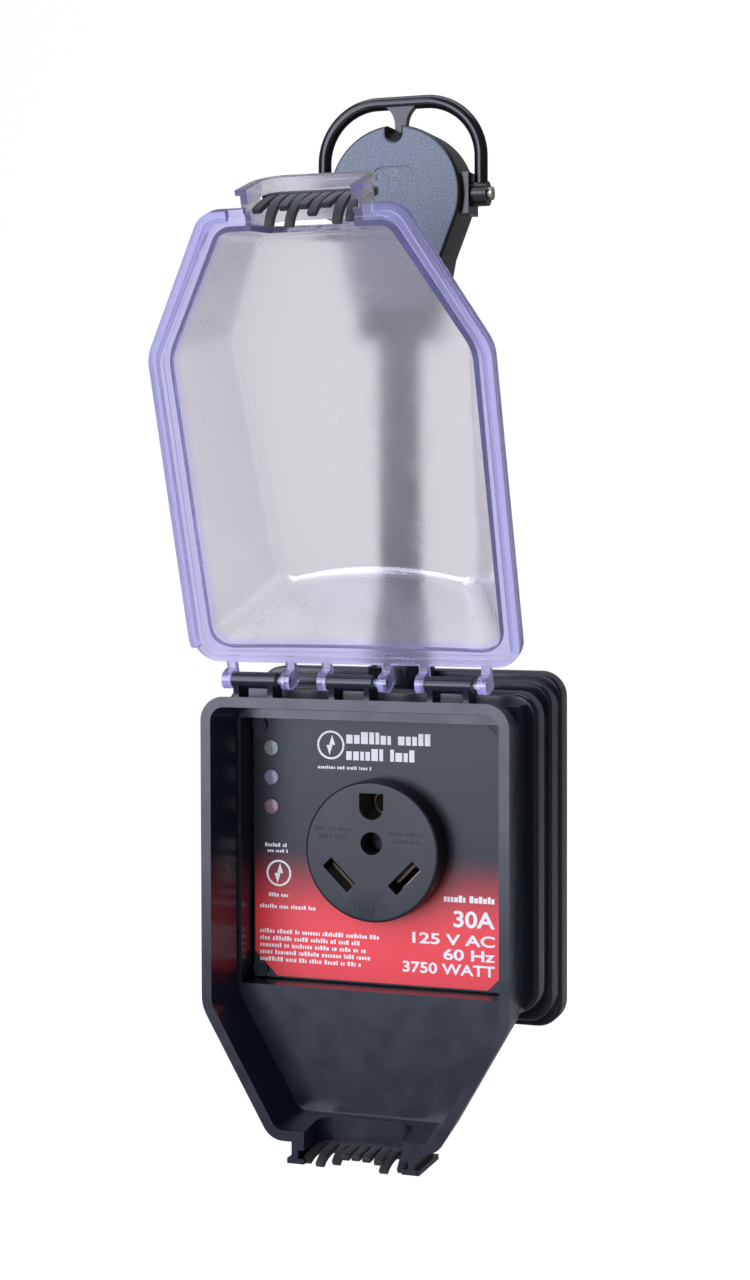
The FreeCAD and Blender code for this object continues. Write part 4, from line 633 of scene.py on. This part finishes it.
def add_finger(root, toward, fall, reach, swing, droop):
    """One rubber finger, pulled out of its root in steps: straight at first, then drooping by its tip."""
    sizes = bpy.context.scene.surge_sizes
    bpy.ops.mesh.primitive_plane_add(size=sizes.finger_wide, location=root, rotation=(math.pi / 2, 0, 0))
    bpy.ops.transform.resize(value=(1, 1, sizes.finger_thick / sizes.finger_wide), center_override=root)
    ahead = Matrix.Rotation(swing, 3, "Z") @ toward
    centre = Vector(root)
    for step in range(FINGER_STEPS):
        angle = droop * ((step + 0.5) / FINGER_STEPS) ** 2
        turn = droop * (2 * step + 1) / FINGER_STEPS ** 2
        move = (ahead * math.cos(angle) + fall * math.sin(angle)) * (reach / FINGER_STEPS)
        bpy.ops.mesh.extrude_region_move(TRANSFORM_OT_translate={"value": move})
        centre = centre + move
        bpy.ops.transform.rotate(value=turn * TURNS_BACKWARDS, orient_axis="X", center_override=centre)
        bpy.ops.transform.resize(value=(FINGER_TAPER, FINGER_TAPER, FINGER_TAPER), center_override=centre)


def comb_mesh(name, low, high, toward, fall, fingers):
    """A rubber band with a row of uneven fingers, inside a box that a CAD comb fills."""
    piece = start_mesh(name)
    band = COMB_BAND * MM
    back = high.y if toward.y < 0 else low.y
    root = back + toward.y * band
    centre = Vector((0, (back + root) / 2, (low.z + high.z) / 2))
    bpy.ops.mesh.primitive_cube_add(size=1, location=centre)
    bpy.ops.transform.resize(value=(high.x - low.x, band, high.z - low.z), center_override=centre)
    bpy.ops.mesh.select_mode(type="EDGE")
    bpy.ops.mesh.bevel(offset=0.5 * MM, segments=2, affect="EDGES")
    bpy.ops.mesh.select_mode(type="VERT")
    room = high.x - low.x - 2 * (COMB_END * MM) - bpy.context.scene.surge_sizes.finger_wide
    reach = (high.y - low.y) - band
    for index, (swing, droop, share) in enumerate(fingers):
        across = -room / 2 + room * index / (len(fingers) - 1)
        start = Vector((across, root - toward.y * ROOT_SUNK * MM, centre.z))
        add_finger(start, toward, fall, reach * share, math.radians(swing), math.radians(droop))
    bpy.ops.mesh.select_all(action="SELECT")
    bpy.ops.mesh.normals_make_consistent(inside=False)
    bpy.ops.object.mode_set(mode="OBJECT")
    soften = piece.modifiers.new("edges", "BEVEL")
    soften.width = 0.35 * MM
    soften.segments = 2
    soften.limit_method = "ANGLE"
    soften.angle_limit = math.radians(50)
    make_active(piece)
    bpy.ops.object.modifier_apply(modifier="edges")
    bpy.ops.object.shade_smooth_by_angle(angle=math.radians(40))
    return piece


def closed_box(node):
    """A lid node's lowest and highest corners with the lid closed."""
    shut = (Matrix.Translation(HINGE_POINT) @ Matrix.Rotation(OPENED, 4, "X")
            @ Matrix.Translation(-HINGE_POINT))
    places = [shut @ vertex.co for vertex in frame["nodes"][node].data.vertices]
    return (Vector([min(place[axis] for place in places) for axis in range(3)]),
            Vector([max(place[axis] for place in places) for axis in range(3)]))


class SURGE_OT_add_combs(bpy.types.Operator):
    """Add the two rubber combs that close the port round a lead, their fingers bent by use"""
    bl_idname = "surge.add_combs"
    bl_label = "Rubber combs"

    def execute(self, context):
        low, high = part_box("housing_comb")
        piece = comb_mesh("housing_comb_rubber", low, high, Vector((0, -1, 0)), Vector((0, 0, -1)),
                          HOUSING_FINGERS)
        paint(piece, "rubber_black")
        settle(piece, "rubber_black", "housing", "housing_comb")
        low, high = closed_box("lid_comb")
        piece = comb_mesh("lid_comb_rubber", low, high, Vector((0, 1, 0)), Vector((0, 0, 1)), LID_FINGERS)
        piece.data.transform(Matrix.Translation(HINGE_POINT) @ Matrix.Rotation(-OPENED, 4, "X")
                             @ Matrix.Translation(-HINGE_POINT))
        paint(piece, "rubber_black")
        settle(piece, "rubber_black", "lid", "lid_comb")
        return {"FINISHED"}


# ---------------------------------------------------------------- lead

LEAD_ROUTE = (
    (0.0, -0.0125, -0.1574),
    (0.0, -0.0125, -0.1240),
    (0.0, -0.0125, -0.0890),
    (0.0, -0.0125, -0.0550),
)


class SURGE_OT_add_lead(bpy.types.Operator):
    """Run the power lead from the gland's strain relief up to the plug"""
    bl_idname = "surge.add_lead"
    bl_label = "Power lead"

    def execute(self, context):
        line = bpy.data.curves.new("power_lead", "CURVE")
        line.dimensions = "3D"
        spline = line.splines.new("NURBS")
        spline.points.add(len(LEAD_ROUTE) - 1)
        for point, place in zip(spline.points, LEAD_ROUTE):
            point.co = (*place, 1.0)
        spline.order_u = 3
        spline.use_endpoint_u = True
        spline.resolution_u = 12
        line.bevel_depth = context.scene.surge_sizes.lead_wide / 2
        line.bevel_resolution = 10
        line.use_fill_caps = True
        piece = bpy.data.objects.new("power_lead", line)
        context.scene.collection.objects.link(piece)
        line.materials.append(MATERIALS["cord_black"])
        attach(piece, "housing")
        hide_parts("power_cord")
        return {"FINISHED"}


# ---------------------------------------------------------------- stage

CAMERA_PLACE = (0.2919, -0.8633, -0.1196)
CAMERA_TILT = 88.34         # degrees up from straight down
CAMERA_TURN = 19.6          # degrees about the upright axis
CAMERA_ROLL = -0.15
CAMERA_LENS = 64.2          # mm
CAMERA_SHIFT = -0.056
# Soft lights: place and aim in metres from the object's middle, width, height and watts.
SOFTBOXES = {
    "key_light": ((-1.0, -1.2, 1.1), (0, 0, 0), 1.2, 1.0, 13),
    "front_panel": ((-0.75, -2.1, 0.15), (0, 0, 0), 1.7, 1.5, 42),
    "top_light": ((0, 0.1, 1.4), (0, 0, 0), 1.6, 1.0, 12),
    "back_light": ((0, 1.3, 0.5), (0, 2.6, 0.1), 2.4, 1.6, 30),
}
MIRRORED_WHITE = 0.1        # how bright the white surroundings are in a gloss
BOUNCED_WHITE = 0.35        # and as light on matt surfaces
FLOOR_DROP = 0.25           # the object hangs that far above the floor
FLOOR_SIZE = 8              # m, with the floor's middle a little in front of the object
FLOOR_MIDDLE = -1.0
SWEEP_STEPS = 10            # the far edge sweeps up a quarter turn in that many steps, each this long
SWEEP_STEP = 0.16
WALL_TALL = 5


def add_softbox(name, place, target, wide, tall, power):
    """A rectangular studio light, aimed at a point."""
    light = bpy.data.lights.new(name, "AREA")
    light.shape = "RECTANGLE"
    light.size = wide
    light.size_y = tall
    light.energy = power
    light.color = linear("#e6ebff")[:3]
    lamp = bpy.data.objects.new(name, light)
    lamp.location = place
    lamp.rotation_euler = (Vector(target) - Vector(place)).to_track_quat("-Z", "Y").to_euler()
    bpy.context.scene.collection.objects.link(lamp)


def dim_when_reflected(owner, direct, mirrored, bounced):
    """Strength of a white: full to the eye, also through the lid, but dim in gloss and on matt surfaces."""
    path = add_node(owner, "LightPath").outputs
    opaque = add_node(owner, "Math", {0: 1.0, 1: path["Is Transmission Ray"]}, operation="SUBTRACT")
    mirror = add_node(owner, "Math", {0: path["Is Glossy Ray"], 1: opaque.outputs[0]}, operation="MULTIPLY")
    in_gloss = add_node(owner, "Math", {0: mirror.outputs[0], 1: mirrored - direct, 2: direct},
                        operation="MULTIPLY_ADD")
    in_matt = add_node(owner, "Math", {0: path["Is Diffuse Ray"], 1: bounced - direct,
                                       2: in_gloss.outputs[0]}, operation="MULTIPLY_ADD")
    return in_matt.outputs[0]


class SURGE_OT_add_stage(bpy.types.Operator):
    """Add the pale floor, the backdrop, soft lights and the camera"""
    bl_idname = "surge.add_stage"
    bl_label = "Stage"

    def execute(self, context):
        low, high = (Vector(corner) for corner in CAD_BOX)
        middle = (low + high) / 2
        self.add_backdrop(low.z - FLOOR_DROP)
        for name, (place, aim, wide, tall, power) in SOFTBOXES.items():
            add_softbox(name, middle + Vector(place), middle + Vector(aim), wide, tall, power)
        world = bpy.data.worlds.new("studio")
        world.use_nodes = True
        world.node_tree.nodes.clear()
        white = dim_when_reflected(world, 1.0, MIRRORED_WHITE, BOUNCED_WHITE)
        glow = add_node(world, "Background", {"Color": linear("#ffffff"), "Strength": white})
        add_node(world, "OutputWorld", {"Surface": glow.outputs[0]})
        context.scene.world = world
        context.scene.view_settings.view_transform = "Standard"
        lens = bpy.data.cameras.new("camera")
        lens.lens = CAMERA_LENS
        lens.shift_y = CAMERA_SHIFT
        camera = bpy.data.objects.new("camera", lens)
        camera.location = CAMERA_PLACE
        turn = Matrix.Rotation(math.radians(CAMERA_TURN), 4, "Z")
        tilt = Matrix.Rotation(math.radians(CAMERA_TILT), 4, "X")
        roll = Matrix.Rotation(math.radians(CAMERA_ROLL), 4, "Z")
        camera.matrix_world = Matrix.Translation(CAMERA_PLACE) @ turn @ tilt @ roll
        context.scene.collection.objects.link(camera)
        context.scene.camera = camera
        return {"FINISHED"}

    def add_backdrop(self, floor):
        """A floor whose far edge sweeps up into a wall."""
        deselect_all()
        bpy.ops.mesh.primitive_plane_add(size=FLOOR_SIZE, location=(0, FLOOR_MIDDLE, floor))
        sweep = bpy.context.object
        sweep.name = "backdrop"
        bpy.ops.object.mode_set(mode="EDIT")
        bpy.ops.mesh.select_all(action="DESELECT")
        bpy.ops.object.mode_set(mode="OBJECT")
        for edge in sweep.data.edges:
            ends = [sweep.matrix_world @ sweep.data.vertices[index].co for index in edge.vertices]
            edge.select = all(end.y > FLOOR_MIDDLE + FLOOR_SIZE / 2 - 0.1 for end in ends)
        bpy.ops.object.mode_set(mode="EDIT")
        bpy.ops.mesh.select_mode(type="EDGE")
        for step in range(SWEEP_STEPS):
            bend = math.radians(90 / SWEEP_STEPS * (step + 0.5))
            move = (0, SWEEP_STEP * math.cos(bend), SWEEP_STEP * math.sin(bend))
            bpy.ops.mesh.extrude_region_move(TRANSFORM_OT_translate={"value": move})
        bpy.ops.mesh.extrude_region_move(TRANSFORM_OT_translate={"value": (0, 0, WALL_TALL)})
        bpy.ops.object.mode_set(mode="OBJECT")
        bpy.ops.object.shade_smooth()
        paper = empty_material("backdrop_paper")
        place = add_node(paper, "TexCoord").outputs["Object"]
        fibre = add_node(paper, "TexNoise", {"Vector": place, "Scale": per_mm(3), "Detail": 2.0})
        relief = add_node(paper, "Bump", {"Height": fibre.outputs["Fac"], "Strength": 0.05,
                                          "Distance": 0.0002})
        shader = add_node(paper, "BsdfPrincipled", {
            "Base Color": linear("#606060"), "Roughness": 0.9, "Emission Color": linear("#ffffff"),
            "Emission Strength": dim_when_reflected(paper, 0.92, MIRRORED_WHITE, BOUNCED_WHITE),
            "Normal": relief.outputs["Normal"]})
        finish_material(paper, shader)
        sweep.data.materials.append(paper)


# ---------------------------------------------------------------- sidebar and start

OPERATORS = (SURGE_OT_finish_nodes, SURGE_OT_print_label, SURGE_OT_add_combs, SURGE_OT_add_lead,
             SURGE_OT_add_stage)


class SURGE_PT_sidebar(bpy.types.Panel):
    """Lists the steps and the values that they use"""
    bl_idname = "SURGE_PT_sidebar"
    bl_label = "Surge protector"
    bl_space_type = "VIEW_3D"
    bl_region_type = "UI"
    bl_category = "Surge protector"

    def draw(self, context):
        for held in (context.scene.surge_sizes, context.scene.surge_colours):
            for name in held.__annotations__:
                self.layout.prop(held, name)
        for operator in OPERATORS:
            self.layout.operator(operator.bl_idname)


CLASSES = (SurgeSizes, SurgeColours, *OPERATORS, SURGE_PT_sidebar)


def register():
    for item in CLASSES:
        bpy.utils.register_class(item)
    bpy.types.Scene.surge_sizes = bpy.props.PointerProperty(type=SurgeSizes)
    bpy.types.Scene.surge_colours = bpy.props.PointerProperty(type=SurgeColours)


def unregister():
    del bpy.types.Scene.surge_colours
    del bpy.types.Scene.surge_sizes
    for item in reversed(CLASSES):
        bpy.utils.unregister_class(item)


def main():
    register()
    for operator in OPERATORS:
        group, call = operator.bl_idname.split(".")
        getattr(getattr(bpy.ops, group), call)()


if __name__ == "__main__":
    main()
